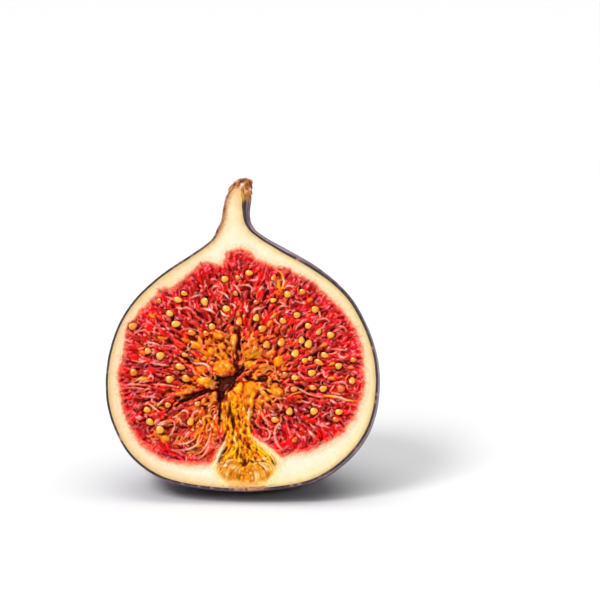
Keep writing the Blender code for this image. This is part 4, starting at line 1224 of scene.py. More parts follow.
def loop_of(bm):
    """The open edge of a bmesh, in order."""
    edges = [e for e in bm.edges if len(e.link_faces) == 1]
    nxt = {}
    for e in edges:
        loop = e.link_loops[0]
        nxt[loop.vert.index] = loop.link_loop_next.vert.index
    start = next(iter(nxt))
    out = [start]
    while True:
        k = nxt[out[-1]]
        if k == start:
            break
        out.append(k)
    return out


def arrays(bm):
    points = np.array([v.co[:] for v in bm.verts])
    faces = [[v.index for v in f.verts] for f in bm.faces]
    return points, faces


def vertex_normals(points, faces):
    n = np.zeros_like(points)
    for size in (3, 4, 5):
        f = np.array([x for x in faces if len(x) == size])
        if not len(f):
            continue
        a = points[f[:, 0]]
        for k in range(1, size - 1):
            c = np.cross(points[f[:, k]] - a, points[f[:, k + 1]] - a)
            for m in (0, k, k + 1):
                np.add.at(n, f[:, m], c)
    return n / (np.linalg.norm(n, axis=1, keepdims=True) + 1e-12)


def loop_inset(line, amount, span=0.7):
    """A closed outline (u, w) moved inwards, with its direction read over a short span."""
    step = np.hypot(*(np.roll(line, -1, axis=0) - line).T)
    run = np.concatenate([[0], np.cumsum(step)])
    total = run[-1]
    closed = np.concatenate([line, line[:1]])

    def at(s):
        s = s % total
        return np.stack([np.interp(s, run, closed[:, 0]), np.interp(s, run, closed[:, 1])], 1)

    s = run[:-1]
    t = at(s + span) - at(s - span)
    t /= np.linalg.norm(t, axis=1, keepdims=True)
    area = 0.5 * np.sum(closed[:-1, 0] * closed[1:, 1] - closed[1:, 0] * closed[:-1, 1])
    n = np.stack([-t[:, 1], t[:, 0]], 1) * (1 if area > 0 else -1)
    return line + n * amount


def crossings(line):
    """Pairs of sides of a closed outline that cross."""
    after = np.roll(line, -1, axis=0)
    side = after - line
    found = []
    for i in range(len(line)):
        d = side[i]
        cross = d[0] * side[:, 1] - d[1] * side[:, 0]
        cross = np.where(np.abs(cross) < 1e-12, 1e-12, cross)
        gap = line - line[i]
        t = (gap[:, 0] * side[:, 1] - gap[:, 1] * side[:, 0]) / cross
        s = (gap[:, 0] * d[1] - gap[:, 1] * d[0]) / cross
        hit = (t > -1e-6) & (t < 1 + 1e-6) & (s > -1e-6) & (s < 1 + 1e-6)
        for j in np.nonzero(hit)[0]:
            if j > i + 1 and not (i == 0 and j == len(line) - 1):
                found.append((i, int(j)))
    return found


def untangled(line):
    """The outline with any small loop pulled straight."""
    line = line.copy()
    n = len(line)
    for _ in range(20):
        pairs = crossings(line)
        if not pairs:
            break
        for i, j in pairs:
            if (j - i) % n > n / 2:
                i, j = j, i
            a, b = (i - 2) % n, (j + 3) % n
            m = (b - a) % n
            for k in range(1, m):
                line[(a + k) % n] = line[a] + (line[b] - line[a]) * k / m
    return line


def inset(points, normals, rim, amount):
    """Points moved inwards; those on the knife plane stay on it."""
    out = points - normals * amount
    moved = untangled(loop_inset(points[rim][:, (0, 2)], amount))
    out[rim, 0], out[rim, 1], out[rim, 2] = moved[:, 0], 0.0, moved[:, 1]
    out[:, 1] = np.maximum(out[:, 1], 0.0)
    return out


# ---------------------------------------------------------------- finishes
def node(tree, kind, **inputs):
    made = tree.nodes.new(kind)
    for key, value in inputs.items():
        made.inputs[key.replace("_", " ")].default_value = value
    return made


def finish_of(name, roughness, coat=0.0, coat_rough=0.1, sss=0.0, radius=(1.0, 0.3, 0.2), depth=0.0005, ior=1.45, specular=0.5):
    mat = bpy.data.materials.new(name)
    mat.use_nodes = True
    tree = mat.node_tree
    shader = tree.nodes["Principled BSDF"]
    shader.inputs["Roughness"].default_value = roughness
    shader.inputs["IOR"].default_value = ior
    shader.inputs["Specular IOR Level"].default_value = specular
    shader.inputs["Coat Weight"].default_value = coat
    shader.inputs["Coat Roughness"].default_value = coat_rough
    shader.inputs["Subsurface Weight"].default_value = sss
    shader.inputs["Subsurface Radius"].default_value = radius
    shader.inputs["Subsurface Scale"].default_value = depth
    return mat, tree, shader


def tinted(mat_tree_shader, grain, spread, bump=0.0, bump_scale=3000.0, rough=None):
    """Colour from the mesh, broken up by fine grain; optional fine relief and uneven gloss."""
    mat, tree, shader = mat_tree_shader
    tint = tree.nodes.new("ShaderNodeAttribute")
    tint.attribute_name = "tint"
    where = tree.nodes.new("ShaderNodeTexCoord")
    noise = tree.nodes.new("ShaderNodeTexNoise")
    noise.inputs["Scale"].default_value = grain
    noise.inputs["Detail"].default_value = 5.0
    noise.inputs["Roughness"].default_value = 0.6
    tree.links.new(where.outputs["Object"], noise.inputs["Vector"])
    level = tree.nodes.new("ShaderNodeMapRange")
    level.inputs["From Min"].default_value = 0.3
    level.inputs["From Max"].default_value = 0.7
    level.inputs["To Min"].default_value = 1.0 - spread
    level.inputs["To Max"].default_value = 1.0 + spread
    tree.links.new(noise.outputs["Fac"], level.inputs["Value"])
    scaled = tree.nodes.new("ShaderNodeVectorMath")
    scaled.operation = "SCALE"
    tree.links.new(tint.outputs["Color"], scaled.inputs[0])
    tree.links.new(level.outputs["Result"], scaled.inputs["Scale"])
    tree.links.new(scaled.outputs["Vector"], shader.inputs["Base Color"])
    if bump:
        small = tree.nodes.new("ShaderNodeTexNoise")
        small.inputs["Scale"].default_value = bump_scale
        small.inputs["Detail"].default_value = 3.0
        tree.links.new(where.outputs["Object"], small.inputs["Vector"])
        relief = tree.nodes.new("ShaderNodeBump")
        relief.inputs["Strength"].default_value = 1.0
        relief.inputs["Distance"].default_value = bump
        tree.links.new(small.outputs["Fac"], relief.inputs["Height"])
        tree.links.new(relief.outputs["Normal"], shader.inputs["Normal"])
    if rough:
        span = tree.nodes.new("ShaderNodeMapRange")
        span.inputs["From Min"].default_value = 0.3
        span.inputs["From Max"].default_value = 0.7
        span.inputs["To Min"].default_value = rough[0]
        span.inputs["To Max"].default_value = rough[1]
        tree.links.new(noise.outputs["Fac"], span.inputs["Value"])
        tree.links.new(span.outputs["Result"], shader.inputs["Roughness"])
    return mat


def dotted(mat, cell, radius, tone, share):
    """Scattered pale breathing dots, and fine lengthwise wrinkles."""
    tree = mat.node_tree
    shader = tree.nodes["Principled BSDF"]
    colour = shader.inputs["Base Color"].links[0].from_socket
    where = tree.nodes.new("ShaderNodeTexCoord")
    cells = tree.nodes.new("ShaderNodeTexVoronoi")
    cells.inputs["Scale"].default_value = 1.0 / cell
    tree.links.new(where.outputs["Object"], cells.inputs["Vector"])
    spot = tree.nodes.new("ShaderNodeMapRange")
    spot.inputs["From Min"].default_value = radius / cell * 0.6
    spot.inputs["From Max"].default_value = radius / cell * 1.3
    spot.inputs["To Min"].default_value = 1.0
    spot.inputs["To Max"].default_value = 0.0
    tree.links.new(cells.outputs["Distance"], spot.inputs["Value"])
    split = tree.nodes.new("ShaderNodeSeparateColor")
    tree.links.new(cells.outputs["Color"], split.inputs["Color"])
    some = tree.nodes.new("ShaderNodeMapRange")
    some.inputs["From Min"].default_value = 1.0 - share
    some.inputs["From Max"].default_value = 1.0
    some.inputs["To Min"].default_value = 0.0
    some.inputs["To Max"].default_value = 0.8
    tree.links.new(split.outputs["Red"], some.inputs["Value"])
    both = tree.nodes.new("ShaderNodeMath")
    both.operation = "MULTIPLY"
    tree.links.new(spot.outputs["Result"], both.inputs[0])
    tree.links.new(some.outputs["Result"], both.inputs[1])
    mix = tree.nodes.new("ShaderNodeMix")
    mix.data_type = "RGBA"
    mix.inputs["B"].default_value = (*[float(x) for x in tone], 1)
    tree.links.new(both.outputs["Value"], mix.inputs["Factor"])
    tree.links.new(colour, mix.inputs["A"])
    tree.links.new(mix.outputs["Result"], shader.inputs["Base Color"])
    # wrinkles drawn out along the fruit
    stretch = tree.nodes.new("ShaderNodeMapping")
    stretch.inputs["Scale"].default_value = (1.0, 1.0, 0.10)
    tree.links.new(where.outputs["Object"], stretch.inputs["Vector"])
    grain = tree.nodes.new("ShaderNodeTexNoise")
    grain.inputs["Scale"].default_value = 900.0
    grain.inputs["Detail"].default_value = 4.0
    tree.links.new(stretch.outputs["Vector"], grain.inputs["Vector"])
    relief = tree.nodes.new("ShaderNodeBump")
    relief.inputs["Strength"].default_value = 1.0
    relief.inputs["Distance"].default_value = 0.00012
    tree.links.new(grain.outputs["Fac"], relief.inputs["Height"])
    tree.links.new(shader.inputs["Normal"].links[0].from_socket, relief.inputs["Normal"])
    tree.links.new(relief.outputs["Normal"], shader.inputs["Normal"])
    return mat


skin_look = dotted(tinted(finish_of("fig skin", 0.46, coat=0.10, coat_rough=0.35, specular=0.40), 1500.0, 0.24, bump=0.00004, bump_scale=2600.0, rough=(0.42, 0.56)), 0.0022, 0.00017, lin(206, 178, 184), 0.6)
flesh_look = tinted(finish_of("fig rind", 0.42, coat=0.10, coat_rough=0.25, sss=0.45, radius=(1.0, 0.55, 0.25), depth=0.0012), 900.0, 0.05, bump=0.00002, bump_scale=2200.0, rough=(0.34, 0.50))
pulp_look = tinted(finish_of("fig pulp", 0.34, coat=0.12, coat_rough=0.05, sss=0.45, radius=(1.0, 0.22, 0.09), depth=0.0006, specular=0.10), 2600.0, 0.12, bump=0.00003, bump_scale=3600.0, rough=(0.22, 0.40))
seed_look = tinted(finish_of("fig seed", 0.32, coat=0.45, coat_rough=0.10, sss=0.25, radius=(1.0, 0.6, 0.25), depth=0.0004, specular=0.2), 2200.0, 0.10, bump=0.00002, bump_scale=4000.0)
stalk_look = tinted(finish_of("fig stalk", 0.62, coat=0.0, specular=0.4), 2600.0, 0.30, bump=0.00010, bump_scale=2600.0)


# ---------------------------------------------------------------- skin
def skin_tint(p, n):
    """Skin colour at own-frame points (mm)."""
    w = p[:, 2]
    cu = along(CENTRE, np.clip(w, 0, 63.4), 1)
    cv = along(CENTRE, np.clip(w, 0, 63.4), 2)
    A = np.arctan2(p[:, 1] - cv, p[:, 0] - cu)
    flow = A + 0.05 * periodic(120, A, w, 7, 12)
    streak = 0.5 * periodic(121, flow, w, 150, 16) + 0.3 * periodic(122, flow, w, 320, 9) + 0.4 * periodic(123, flow, w, 60, 24)
    patch = 0.6 * periodic(124, A, w, 9, 9) + 0.4 * periodic(125, A, w, 22, 5)
    dust = 0.5 * periodic(135, flow, w, 46, 4.5) + 0.5 * periodic(136, flow, w, 110, 2.2)
    grit = 0.6 * periodic(137, flow, w, 420, 0.9) + 0.4 * periodic(138, flow, w, 700, 0.45)
    bloom = np.clip(0.44 + 0.60 * patch + 0.42 * streak + 0.34 * dust + 0.24 * grit, 0, 1)
    c = blend(lin(46, 28, 42), lin(142, 114, 140), bloom)
    c = blend(c, lin(30, 15, 24), np.clip(0.75 * smooth(0.25, 0.9, streak - 0.3 * dust), 0, 1))
    c = blend(c, lin(178, 150, 170), np.clip(0.65 * smooth(0.55, 1.1, patch + 0.5 * dust + 0.25 * grit), 0, 1))
    red = smooth(36, 50, w) * (0.55 + 0.45 * patch)
    c = blend(c, lin(104, 62, 74), np.clip(0.50 * red, 0, 1))
    rib = np.clip(0.5 + 0.9 * periodic(127, A, w, 26, 34) + 0.3 * streak, 0, 1)
    neck = smooth(46, 51, w)
    c = blend(c, blend(lin(58, 40, 50), lin(128, 104, 122), rib), neck * 0.85)
    # the neck's front right fold, darkened as painted shade, with a pale lavender line beside it that is partly bloom
    # and partly painted highlight; and the bloom left along the knife's edge, lightened there as a painted highlight
    groove = smooth(46, 48.5, w) * smooth(59.0, 58.0, w)
    c = blend(c, lin(26, 10, 18), 0.90 * groove * np.exp(-((A + 0.40) / 0.12) ** 2))
    c = blend(c, lin(104, 62, 60), 0.6 * groove * np.exp(-((A + 0.66) / 0.13) ** 2))
    c = blend(c, lin(186, 158, 176), 0.75 * groove * np.exp(-((A + 0.08) / 0.16) ** 2) * (0.75 + 0.3 * streak))
    near = np.exp(-((np.clip(p[:, 1], 0, 9) - 1.2) / 0.85) ** 2) * smooth(56, 53, w) * smooth(0.8, 3.0, w)
    lit = 0.6 * periodic(131, np.arctan2(w - 25, p[:, 0]), w, 70, 3) + 0.6 * periodic(139, np.arctan2(w - 25, p[:, 0]), w, 330, 0.8)
    c = blend(c, lin(196, 162, 176), np.clip(0.40 + 0.6 * lit, 0, 0.85) * near)
    c = blend(c, lin(40, 22, 30), 0.85 * np.exp(-(np.clip(p[:, 1], 0, 9) / 0.38) ** 2) * smooth(58, 56, w))
    olive = smooth(58.3, 59.0, w + 0.45 * streak) * smooth(-2.0, -0.9, -np.abs(A + 0.55))
    c = blend(c, blend(lin(226, 164, 66), lin(168, 104, 44), 0.5 + 0.6 * periodic(132, A, w, 46, 0.7)), olive * 0.9)
    # rough brown scales of the flower end, where the knife passed it
    husk = np.exp(-((p[:, 0] - 1.6) / 2.6) ** 2 - (p[:, 1] / 2.0) ** 2) * smooth(3.4, 1.2, w)
    scale = periodic(133, np.arctan2(p[:, 1] + 6, p[:, 0] * 2.2 - 3), w, 60, 0.6)
    c = blend(c, blend(lin(96, 52, 40), lin(206, 150, 112), smooth(-0.5, 0.6, scale)), np.clip(1.3 * husk, 0, 1) * 0.85)
    # the woody top: darker in the dips of its knobs, with pale painted highlights on their tops
    knob = 0.6 * periodic(128, A, w, 16, 1.1) + 0.5 * periodic(129, A, w, 30, 0.6)
    wood = smooth(59.6, 60.4, w + 0.4 * streak + 0.4 * knob)
    bark = blend(lin(92, 40, 28), lin(198, 132, 84), smooth(-0.5, 0.5, knob))
    bark = blend(bark, lin(48, 16, 14), smooth(-0.45, -0.75, knob))
    bark = blend(bark, lin(236, 200, 160), smooth(0.55, 0.8, knob))
    c = blend(c, bark, wood)
    # darker towards the bottom end
    c = blend(c, lin(58, 40, 50), 0.4 * smooth(3.5, 0.4, w))
    return c.astype(np.float32)


bm = skin_grid(330, 200, True)
rim = loop_of(bm)
outer, faces = arrays(bm)
bm.free()
# the flat spot, then the inner side of the skin
world_outer = settled(outer)
outer = own(world_outer)
outer[rim, 1] = 0.0
normals = vertex_normals(outer, faces)
inner = inset(outer, normals, rim, SKIN)
count = len(outer)
points = np.concatenate([outer, inner])
around_cut = np.arctan2(outer[rim, 2] - 25, outer[rim, 0])
grain = 0.6 * periodic(130, around_cut, outer[rim, 2], 330, 0.7) + 0.4 * periodic(146, around_cut, outer[rim, 2], 90, 3)
edge_tint = blend(lin(34, 18, 20), lin(92, 60, 62), np.clip(0.5 + 0.6 * grain, 0, 1))
# pale pink flecks along the cut edge: painted highlights
edge_tint = blend(edge_tint, lin(196, 150, 140), 0.75 * smooth(0.30, 0.75, grain))
under = smooth(3.4, 1.2, outer[rim, 2]) * np.exp(-((outer[rim, 0] - 1.8) / 3.0) ** 2)
edge_tint = blend(edge_tint, blend(lin(84, 40, 30), lin(216, 154, 110), smooth(-0.4, 0.5, grain)), under * 0.9)
left_neck = smooth(47, 53, outer[rim, 2]) * smooth(0.4, -0.6, outer[rim, 0] - along(CENTRE, np.clip(outer[rim, 2], 0, 63.4), 1))
edge_tint = blend(edge_tint, blend(lin(84, 36, 24), lin(220, 156, 112), np.clip(0.5 + 0.8 * grain, 0, 1)), left_neck * 0.9)
right_neck = smooth(58.0, 59.0, outer[rim, 2]) * smooth(-0.4, 0.6, outer[rim, 0] - along(CENTRE, np.clip(outer[rim, 2], 0, 63.4), 1))
edge_tint = blend(edge_tint, lin(212, 150, 74), right_neck * 0.9)
edge_tint = blend(edge_tint, lin(140, 76, 40), smooth(59.5, 61.5, outer[rim, 2]) * 0.8)
tint = np.concatenate([skin_tint(outer, normals), np.tile(lin(70, 44, 54), (count, 1))])
tint[rim] = edge_tint
tint[count + np.array(rim)] = edge_tint * 0.9
all_faces = list(faces)
all_faces += [[count + k for k in reversed(f)] for f in faces]
# the cut edge of the skin, with its own colours
first = len(points)
points = np.concatenate([points, outer[rim], inner[rim]])
tint = np.concatenate([tint, edge_tint, edge_tint * 0.9])
m = len(rim)
for k in range(m):
    a, b = k, (k + 1) % m
    all_faces.append([first + b, first + a, first + m + a, first + m + b])
skin = make("fig_skin", placed_mm(points), all_faces, skin_look, np.clip(tint, 0, 1))
# weld the cut edge on, keeping it crisp
bm = bmesh.new()
bm.from_mesh(skin.data)
bmesh.ops.remove_doubles(bm, verts=bm.verts, dist=2e-7)
bm.to_mesh(skin.data)
bm.free()
skin.data.set_sharp_from_angle(angle=math.radians(38))
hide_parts("fig_half")

# ---------------------------------------------------------------- the woody end of the stalk
sides, levels = 150, 64
turn = 2 * np.pi * np.arange(sides) / sides
r_at, w_at = outline(900)
draw = float(along(CENTRE, np.array([60.5]), 3)[0])
across = along(CENTRE, np.array([60.5]), 2)[0] + 2.25 * (draw * np.cos(turn) + math.sqrt(1 - draw * draw) * np.sin(turn))
ragged = periodic(140, turn, np.full(sides, 5.0), 13, 4) + 0.6 * periodic(141, turn, np.full(sides, 5.0), 31, 4)
foot = 59.9 + 1.15 * smooth(0.35, -0.25, across) + 0.42 * ragged
share = np.linspace(0, 1, levels)[:, None]
A = np.repeat(turn[None, :], levels, axis=0)
W = foot[None, :] + (63.32 - foot[None, :]) * share
knob = 0.62 * periodic(142, A, W, 13, 0.95) + 0.42 * periodic(143, A, W, 27, 0.5) + 0.16 * periodic(144, A, W, 60, 0.28)
R = np.interp(W, w_at, r_at)
grow = 0.16 * smooth(0.0, 0.10, share) + 0.34 * knob * smooth(0.03, 0.3, share) - 0.30 * smooth(0.12, 0.0, share)
P = fruit(np.maximum(R + grow * np.clip(R / 1.2, 0.25, 1), 0.02), A, W + 0.18 * knob * smooth(0.3, 1.0, share))
rough = 0.03 + 0.10 * np.clip(0.5 + 0.5 * knob, 0, 1)
P[..., 1] = np.maximum(P[..., 1], -rough)
inner_ring = P[0] * 0.5 + P[0].mean(axis=0) * 0.5 + np.array([0, 0.1, 0.25])
core = P[0].mean(axis=0) + np.array([0, 0.1, 0.3])
tip = P[-1].mean(axis=0) + np.array([0, 0, 0.05])
points = np.concatenate([P.reshape(-1, 3), inner_ring, core[None], tip[None]])
base = levels * sides
stub = []
for j in range(levels - 1):
    for i in range(sides):
        k = (i + 1) % sides
        stub.append([j * sides + i, j * sides + k, (j + 1) * sides + k, (j + 1) * sides + i])
for i in range(sides):
    k = (i + 1) % sides
    stub.append([base + i, base + k, k, i])
    stub.append([base + sides, base + k, base + i])
    stub.append([base + sides + 1, (levels - 1) * sides + i, (levels - 1) * sides + k])
# darker in the dips of the knobs, with pale painted highlights on their tops
wood = blend(lin(118, 58, 36), lin(214, 140, 84), smooth(-0.5, 0.5, knob))
wood = blend(wood, lin(146, 44, 36), 0.8 * smooth(0.0, 0.6, periodic(145, A, W, 11, 1.3)))
wood = blend(wood, lin(50, 12, 12), smooth(-0.18, -0.48, knob))
wood = blend(wood, lin(250, 216, 190), 0.85 * smooth(0.40, 0.68, knob))
wood = blend(wood, lin(210, 160, 74), 0.6 * smooth(0.22, 0.02, share) * (knob > -0.4))
wood = np.concatenate([wood.reshape(-1, 3), np.tile(lin(110, 60, 40), (sides + 2, 1))])
stalk = make("fig_stalk", placed_mm(points), stub, stalk_look, np.clip(wood, 0, 1))

# ---------------------------------------------------------------- the cut
rim_line = inner[rim][:, (0, 2)]
OUT = polygon_distance(rim_line[::3])
F = build_face(OUT)
zone = np.maximum(F["pd"], F["eye"])

STEP = 0.17
rows = int((W_MAX - W_MIN) / (STEP * 0.8660)) + 1
cols = int((U_MAX - U_MIN) / STEP) + 1
gu = U_MIN + STEP * np.arange(cols)[None, :] + np.where(np.arange(rows) % 2 == 0, 0, STEP / 2)[:, None]
gw = np.repeat((W_MIN + STEP * 0.8660 * np.arange(rows))[:, None], cols, axis=1)
reach = np.minimum(read(zone, gu, gw) + 1.2, read(OUT, gu, gw) - 0.12)
ok = reach > 0
index = np.arange(rows * cols).reshape(rows, cols)
tris = []
for j in range(rows - 1):
    a, b = index[j, :-1], index[j, 1:]
    c, d = index[j + 1, :-1], index[j + 1, 1:]
    if j % 2 == 0:
        tris += [np.stack([a, b, c], 1), np.stack([b, d, c], 1)]
    else:
        tris += [np.stack([a, d, c], 1), np.stack([a, b, d], 1)]
tris = np.concatenate(tris)
flat_ok = ok.ravel()
tris = tris[flat_ok[tris].all(axis=1)]


def main_island(tris, size):
    """Keeps the triangles joined to the largest island, without pinched corners."""
    while True:
        # drop vertices where the edge of the mesh touches itself
        e = np.concatenate([tris[:, (0, 1)], tris[:, (1, 2)], tris[:, (2, 0)]])
        key = e[:, 0].astype(np.int64) * size + e[:, 1]
        back = e[:, 1].astype(np.int64) * size + e[:, 0]
        open_edge = e[~np.isin(key, back)]
        starts = np.bincount(open_edge[:, 0], minlength=size)
        bad = starts > 1
        if not bad.any():
            break
        tris = tris[~bad[tris].any(axis=1)]
    parent = np.arange(size)
    label = parent.copy()
    for _ in range(400):
        low = label[tris].min(axis=1)
        new = label.copy()
        for k in range(3):
            np.minimum.at(new, tris[:, k], low)
        new = new[new]
        if (new == label).all():
            break
        label = new
    ids, counts = np.unique(label[tris[:, 0]], return_counts=True)
    return tris[label[tris[:, 0]] == ids[np.argmax(counts)]]


def edge_loop(tris, size):
    e = np.concatenate([tris[:, (0, 1)], tris[:, (1, 2)], tris[:, (2, 0)]])
    key = e[:, 0].astype(np.int64) * size + e[:, 1]
    back = e[:, 1].astype(np.int64) * size + e[:, 0]
    e = e[~np.isin(key, back)]
    nxt = dict(zip(e[:, 0].tolist(), e[:, 1].tolist()))
    loops = []
    while nxt:
        start = next(iter(nxt))
        loop = [start]
        k = nxt.pop(start)
        while k != start:
            loop.append(k)
            k = nxt.pop(k)
        loops.append(loop)
    return max(loops, key=len), len(loops)


tris = main_island(tris, rows * cols)
ring, ring_count = edge_loop(tris, rows * cols)
used = np.unique(tris)
remap = np.full(rows * cols, -1)
remap[used] = np.arange(len(used))
tris = remap[tris]
ring = remap[np.array(ring)]
pu, pw = gu.ravel()[used], gw.ravel()[used]
height = blur(F["h"], 0.05)
ph = read(height, pu, pw)
border = np.minimum(read(zone, pu, pw) + 1.2, read(OUT, pu, pw) - 0.12)
ph = ph * smooth(0.05, 0.5, border) + 0.012
front = np.stack([pu, -ph, pw], 1)
front[ring, 1] = 0.03
pulp_tint = read(F["c"], pu, pw)


def filled(loop_uw, inside_uw, face_order=1):
    """Triangles over a closed outline with extra points inside; outline points come first."""
    n = len(loop_uw)
    pts = [Vector(p) for p in loop_uw] + [Vector(p) for p in inside_uw]
    loop = list(range(n))
    out = delaunay_2d_cdt(pts, [], [loop], 1, 1e-6)
    verts, _, fs, orig, _, _ = out
    return verts, fs, orig


def spread_points(distance, step, least, keep=None):
    r = int((W_MAX - W_MIN) / (step * 0.866)) + 1
    c = int((U_MAX - U_MIN) / step) + 1
    a = U_MIN + step * np.arange(c)[None, :] + np.where(np.arange(r) % 2 == 0, 0, step / 2)[:, None]
    b = np.repeat((W_MIN + step * 0.866 * np.arange(r))[:, None], c, axis=1)
    a, b = a.ravel(), b.ravel()
    ok = read(distance, a, b) > least
    if keep is not None:
        ok &= keep(a, b)
    return np.stack([a[ok], b[ok]], 1)


def closed_with(front_pts, ring, depth_of, step, distance, least):
    """A back surface that shares the ring of a front surface."""
    loop = front_pts[ring][:, (0, 2)]
    inside = spread_points(distance, step, least)
    verts, fs, orig = filled(loop, inside)
    n = len(loop)
    assert all(len(o) >= 1 for o in orig), "outline crossed itself"
    ids = []
    extra = []
    for v, o in zip(verts, orig):
        low = min(o)
        if low < n:
            ids.append(int(ring[low]))
        else:
            ids.append(len(front_pts) + len(extra))
            extra.append((v[0], v[1]))
    extra = np.array(extra)
    depth = depth_of(extra[:, 0], extra[:, 1])
    back = np.stack([extra[:, 0], depth, extra[:, 1]], 1)
    fs = [[ids[k] for k in f] for f in fs]
    return back, fs


def facing(points, faces, want):
    """Faces turned so that their normals agree with the own-frame direction want."""
    out = []
    for f in faces:
        a, b, c = points[f[0]], points[f[1]], points[f[2]]
        n = np.cross(b - a, c - a)
        out.append(list(f) if n @ want > 0 else list(reversed(f)))
    return out


depth_field = np.minimum(zone + 1.2, OUT - 0.12)
back, back_faces = closed_with(front, ring, lambda u, w: 0.3 + 5.5 * smooth(0.2, 5.0, read(depth_field, u, w)), 1.1, depth_field, 0.7)
points = np.concatenate([front, back])
back_faces = facing(points, back_faces, np.array([0, 1.0, 0]))
f0 = tris
a, b, c = front[f0[:, 0]], front[f0[:, 1]], front[f0[:, 2]]
turn = np.cross(b - a, c - a)[:, 1] > 0
f0 = np.where(turn[:, None], f0[:, ::-1], f0)
pulp_faces = f0.tolist() + back_faces
pulp_c = np.concatenate([pulp_tint, np.tile(lin(180, 30, 36), (len(back), 1))])
pulp = make("fig_pulp", placed_mm(points), pulp_faces, pulp_look, pulp_c)

# ---------------------------------------------------------------- rind
rim2 = rim
body_faces = faces
body = inset(outer, normals, rim, SKIN + 0.03)
loop = body[rim2][:, (0, 2)]


def rind_keep(a, b):
    z = read(zone, a, b)
    coarse = (np.floor(a / 0.42) % 3 == 0) & (np.floor(b / 0.3637) % 3 == 0)
    return (z < 1.5) | coarse


inside = spread_points(OUT, 0.42, 0.35, rind_keep)
verts, fs, orig = filled(loop, inside)
ids, extra = [], []
for v, o in zip(verts, orig):
    low = min(o)
    if low < len(rim2):
        ids.append(int(rim2[low]))
    else:
        ids.append(len(body) + len(extra))
        extra.append((v[0], v[1]))
extra = np.array(extra)
zz = read(zone, extra[:, 0], extra[:, 1])
dip = 0.06 * smooth(-1.0, -0.6, zz) + 6.2 * smooth(-0.7, 3.0, zz)
ex = np.stack([extra[:, 0], dip - read(height, extra[:, 0], extra[:, 1]) * (zz < -0.9), extra[:, 1]], 1)
points = np.concatenate([body, ex])
front_faces = facing(points, [[ids[k] for k in f] for f in fs], np.array([0, -1.0, 0]))
flesh_c = np.concatenate([np.tile(lin(240, 216, 150), (len(body), 1)), read(F["c"], extra[:, 0], extra[:, 1])])
flesh_c[rim2] = read(F["c"], body[rim2, 0], body[rim2, 2])
flesh = make("fig_flesh", placed_mm(points), [list(f) for f in body_faces] + front_faces, flesh_look, flesh_c)
flesh.data.set_sharp_from_angle(angle=math.radians(50))
print("pieces", len(skin.data.polygons), len(pulp.data.polygons), len(flesh.data.polygons), "rings", ring_count)

# ---------------------------------------------------------------- seeds
def bead(subdivisions=3):
    bm = bmesh.new()
    bmesh.ops.create_icosphere(bm, subdivisions=subdivisions, radius=1.0)
    p = np.array([v.co[:] for v in bm.verts])
    f = [[v.index for v in x.verts] for x in bm.faces]
    bm.free()
    return p, f


ball, ball_faces = bead()
rng = np.random.default_rng(77)
pts, fcs, cols_ = [], [], []
for (u, w, long, wide, turn_deg, ripe) in SEEDS:
    a = math.radians(turn_deg) + rng.normal(0, 0.1)
    s, t, d = ball[:, 0], ball[:, 2], ball[:, 1]
    egg = 1 - 0.22 * s
    x = s * long / 2
    z = t * egg * wide / 2
    y = d * egg * wide / 2 * 0.92
    tilt = rng.normal(0, 0.25)
    x, y = x * math.cos(tilt) - y * math.sin(tilt), x * math.sin(tilt) + y * math.cos(tilt)
    uu = u + x * math.cos(a) - z * math.sin(a)
    ww = w + x * math.sin(a) + z * math.cos(a)
    lift = -0.42 + 0.22 * rng.uniform()
    vv = y - lift
    pts.append(np.stack([uu, vv, ww], 1))
    fcs.append(np.array(ball_faces) + len(ball) * (len(fcs)))
    gold = blend(lin(255, 184, 66), lin(230, 92, 20), np.full(len(ball), ripe))
    # lighter towards the side facing out of the cut, darker behind: painted shade
    top = np.clip(-d, 0, 1)
    tone = gold * (0.66 + 0.36 * smooth(0.0, 0.8, top))[:, None]
    # a painted highlight on the upper left
    lit = np.clip(ball @ np.array([-0.46, -0.70, 0.55]), 0, 1)
    tone = blend(tone, lin(255, 232, 160), 0.75 * smooth(0.86, 0.98, lit))
    # darker orange on the buried side: painted shade
    tone = blend(tone, lin(196, 60, 14), 0.6 * smooth(0.45, -0.2, top))
    cols_.append(tone * rng.uniform(0.92, 1.08))
seeds = make("fig_seeds", placed_mm(np.concatenate(pts)), np.concatenate(fcs), seed_look, np.clip(np.concatenate(cols_), 0, 1))

# ---------------------------------------------------------------- stage and light
def lamp(name, at, aim, size, watts, colour=(1, 1, 1)):
    data = bpy.data.lights.new(name, "AREA")
    data.shape = "DISK"
    data.size = size
    data.energy = watts
    data.color = colour
    made = bpy.data.objects.new(name, data)
    bpy.context.scene.collection.objects.link(made)
    made.location = at
    made.rotation_euler = (Vector(aim) - Vector(at)).to_track_quat("-Z", "Y").to_euler()
    return made


def distant(name, direction, strength, spread, colour=(1, 1, 1)):
    """Even light from far away; direction points from the fruit to the light."""
    data = bpy.data.lights.new(name, "SUN")
    data.energy = strength
    data.angle = spread
    data.color = colour
    made = bpy.data.objects.new(name, data)
    bpy.context.scene.collection.objects.link(made)
    made.rotation_euler = Vector(direction).to_track_quat("Z", "Y").to_euler()
    return made


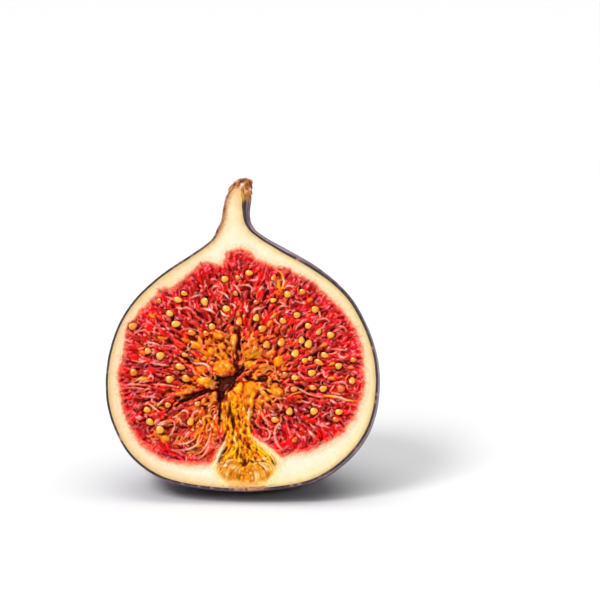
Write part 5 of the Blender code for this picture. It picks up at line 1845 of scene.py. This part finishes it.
distant("key", (-0.42, -0.55, 0.72), 1.7, 0.35)
distant("overhead", (0.10, 0.10, 1.0), 1.6, 1.2)
lamp("spark", (-0.24, -0.70, 0.50), (0, 0, 0.03), 0.16, 0.8)
lamp("spark_right", (0.40, -0.62, 0.30), (0, 0, 0.03), 0.10, 0.35)

world = bpy.data.worlds.new("studio")
bpy.context.scene.world = world
world.use_nodes = True
# plain white behind, with a softer glow as light
sky = world.node_tree.nodes["Background"]
sky.inputs["Color"].default_value = (1, 1, 1, 1)
seen = world.node_tree.nodes.new("ShaderNodeLightPath")
power = world.node_tree.nodes.new("ShaderNodeMapRange")
power.inputs["To Min"].default_value = 0.24
power.inputs["To Max"].default_value = 1.0
world.node_tree.links.new(seen.outputs["Is Camera Ray"], power.inputs["Value"])
world.node_tree.links.new(power.outputs["Result"], sky.inputs["Strength"])

ground = bpy.data.meshes.new("floor")
ground.from_pydata([(-3, -3, 0), (3, -3, 0), (3, 3, 0), (-3, 3, 0)], [], [(0, 1, 2, 3)])
floor = bpy.data.objects.new("floor", ground)
bpy.context.scene.collection.objects.link(floor)
paper = bpy.data.materials.new("paper")
paper.use_nodes = True
paper.node_tree.nodes["Principled BSDF"].inputs["Base Color"].default_value = (0.90, 0.90, 0.905, 1)
paper.node_tree.nodes["Principled BSDF"].inputs["Roughness"].default_value = 0.7
paper.node_tree.nodes["Principled BSDF"].inputs["Specular IOR Level"].default_value = 0.2
ground.materials.append(paper)

bpy.context.scene.view_settings.view_transform = "Standard"
bpy.context.scene.view_settings.look = "None"

az, el, far = math.radians(4.0), math.radians(13.0), 0.8
back_dir = Vector((math.sin(az) * math.cos(el), -math.cos(az) * math.cos(el), math.sin(el)))
right = Vector((math.cos(az), math.sin(az), 0))
up = back_dir.cross(right)
aim = Vector((0, 0, 0.030)) + right * ((300 - 243.4) / 4930) + up * ((339.6 - 300) / 4930)
shot = bpy.data.cameras.new("view")
shot.lens = 236.6
shot.sensor_width = 36
shot.clip_end = 20
camera = bpy.data.objects.new("view", shot)
bpy.context.scene.collection.objects.link(camera)
camera.location = aim + back_dir * far
camera.rotation_euler = (-back_dir).to_track_quat("-Z", "Y").to_euler()
bpy.context.scene.camera = camera
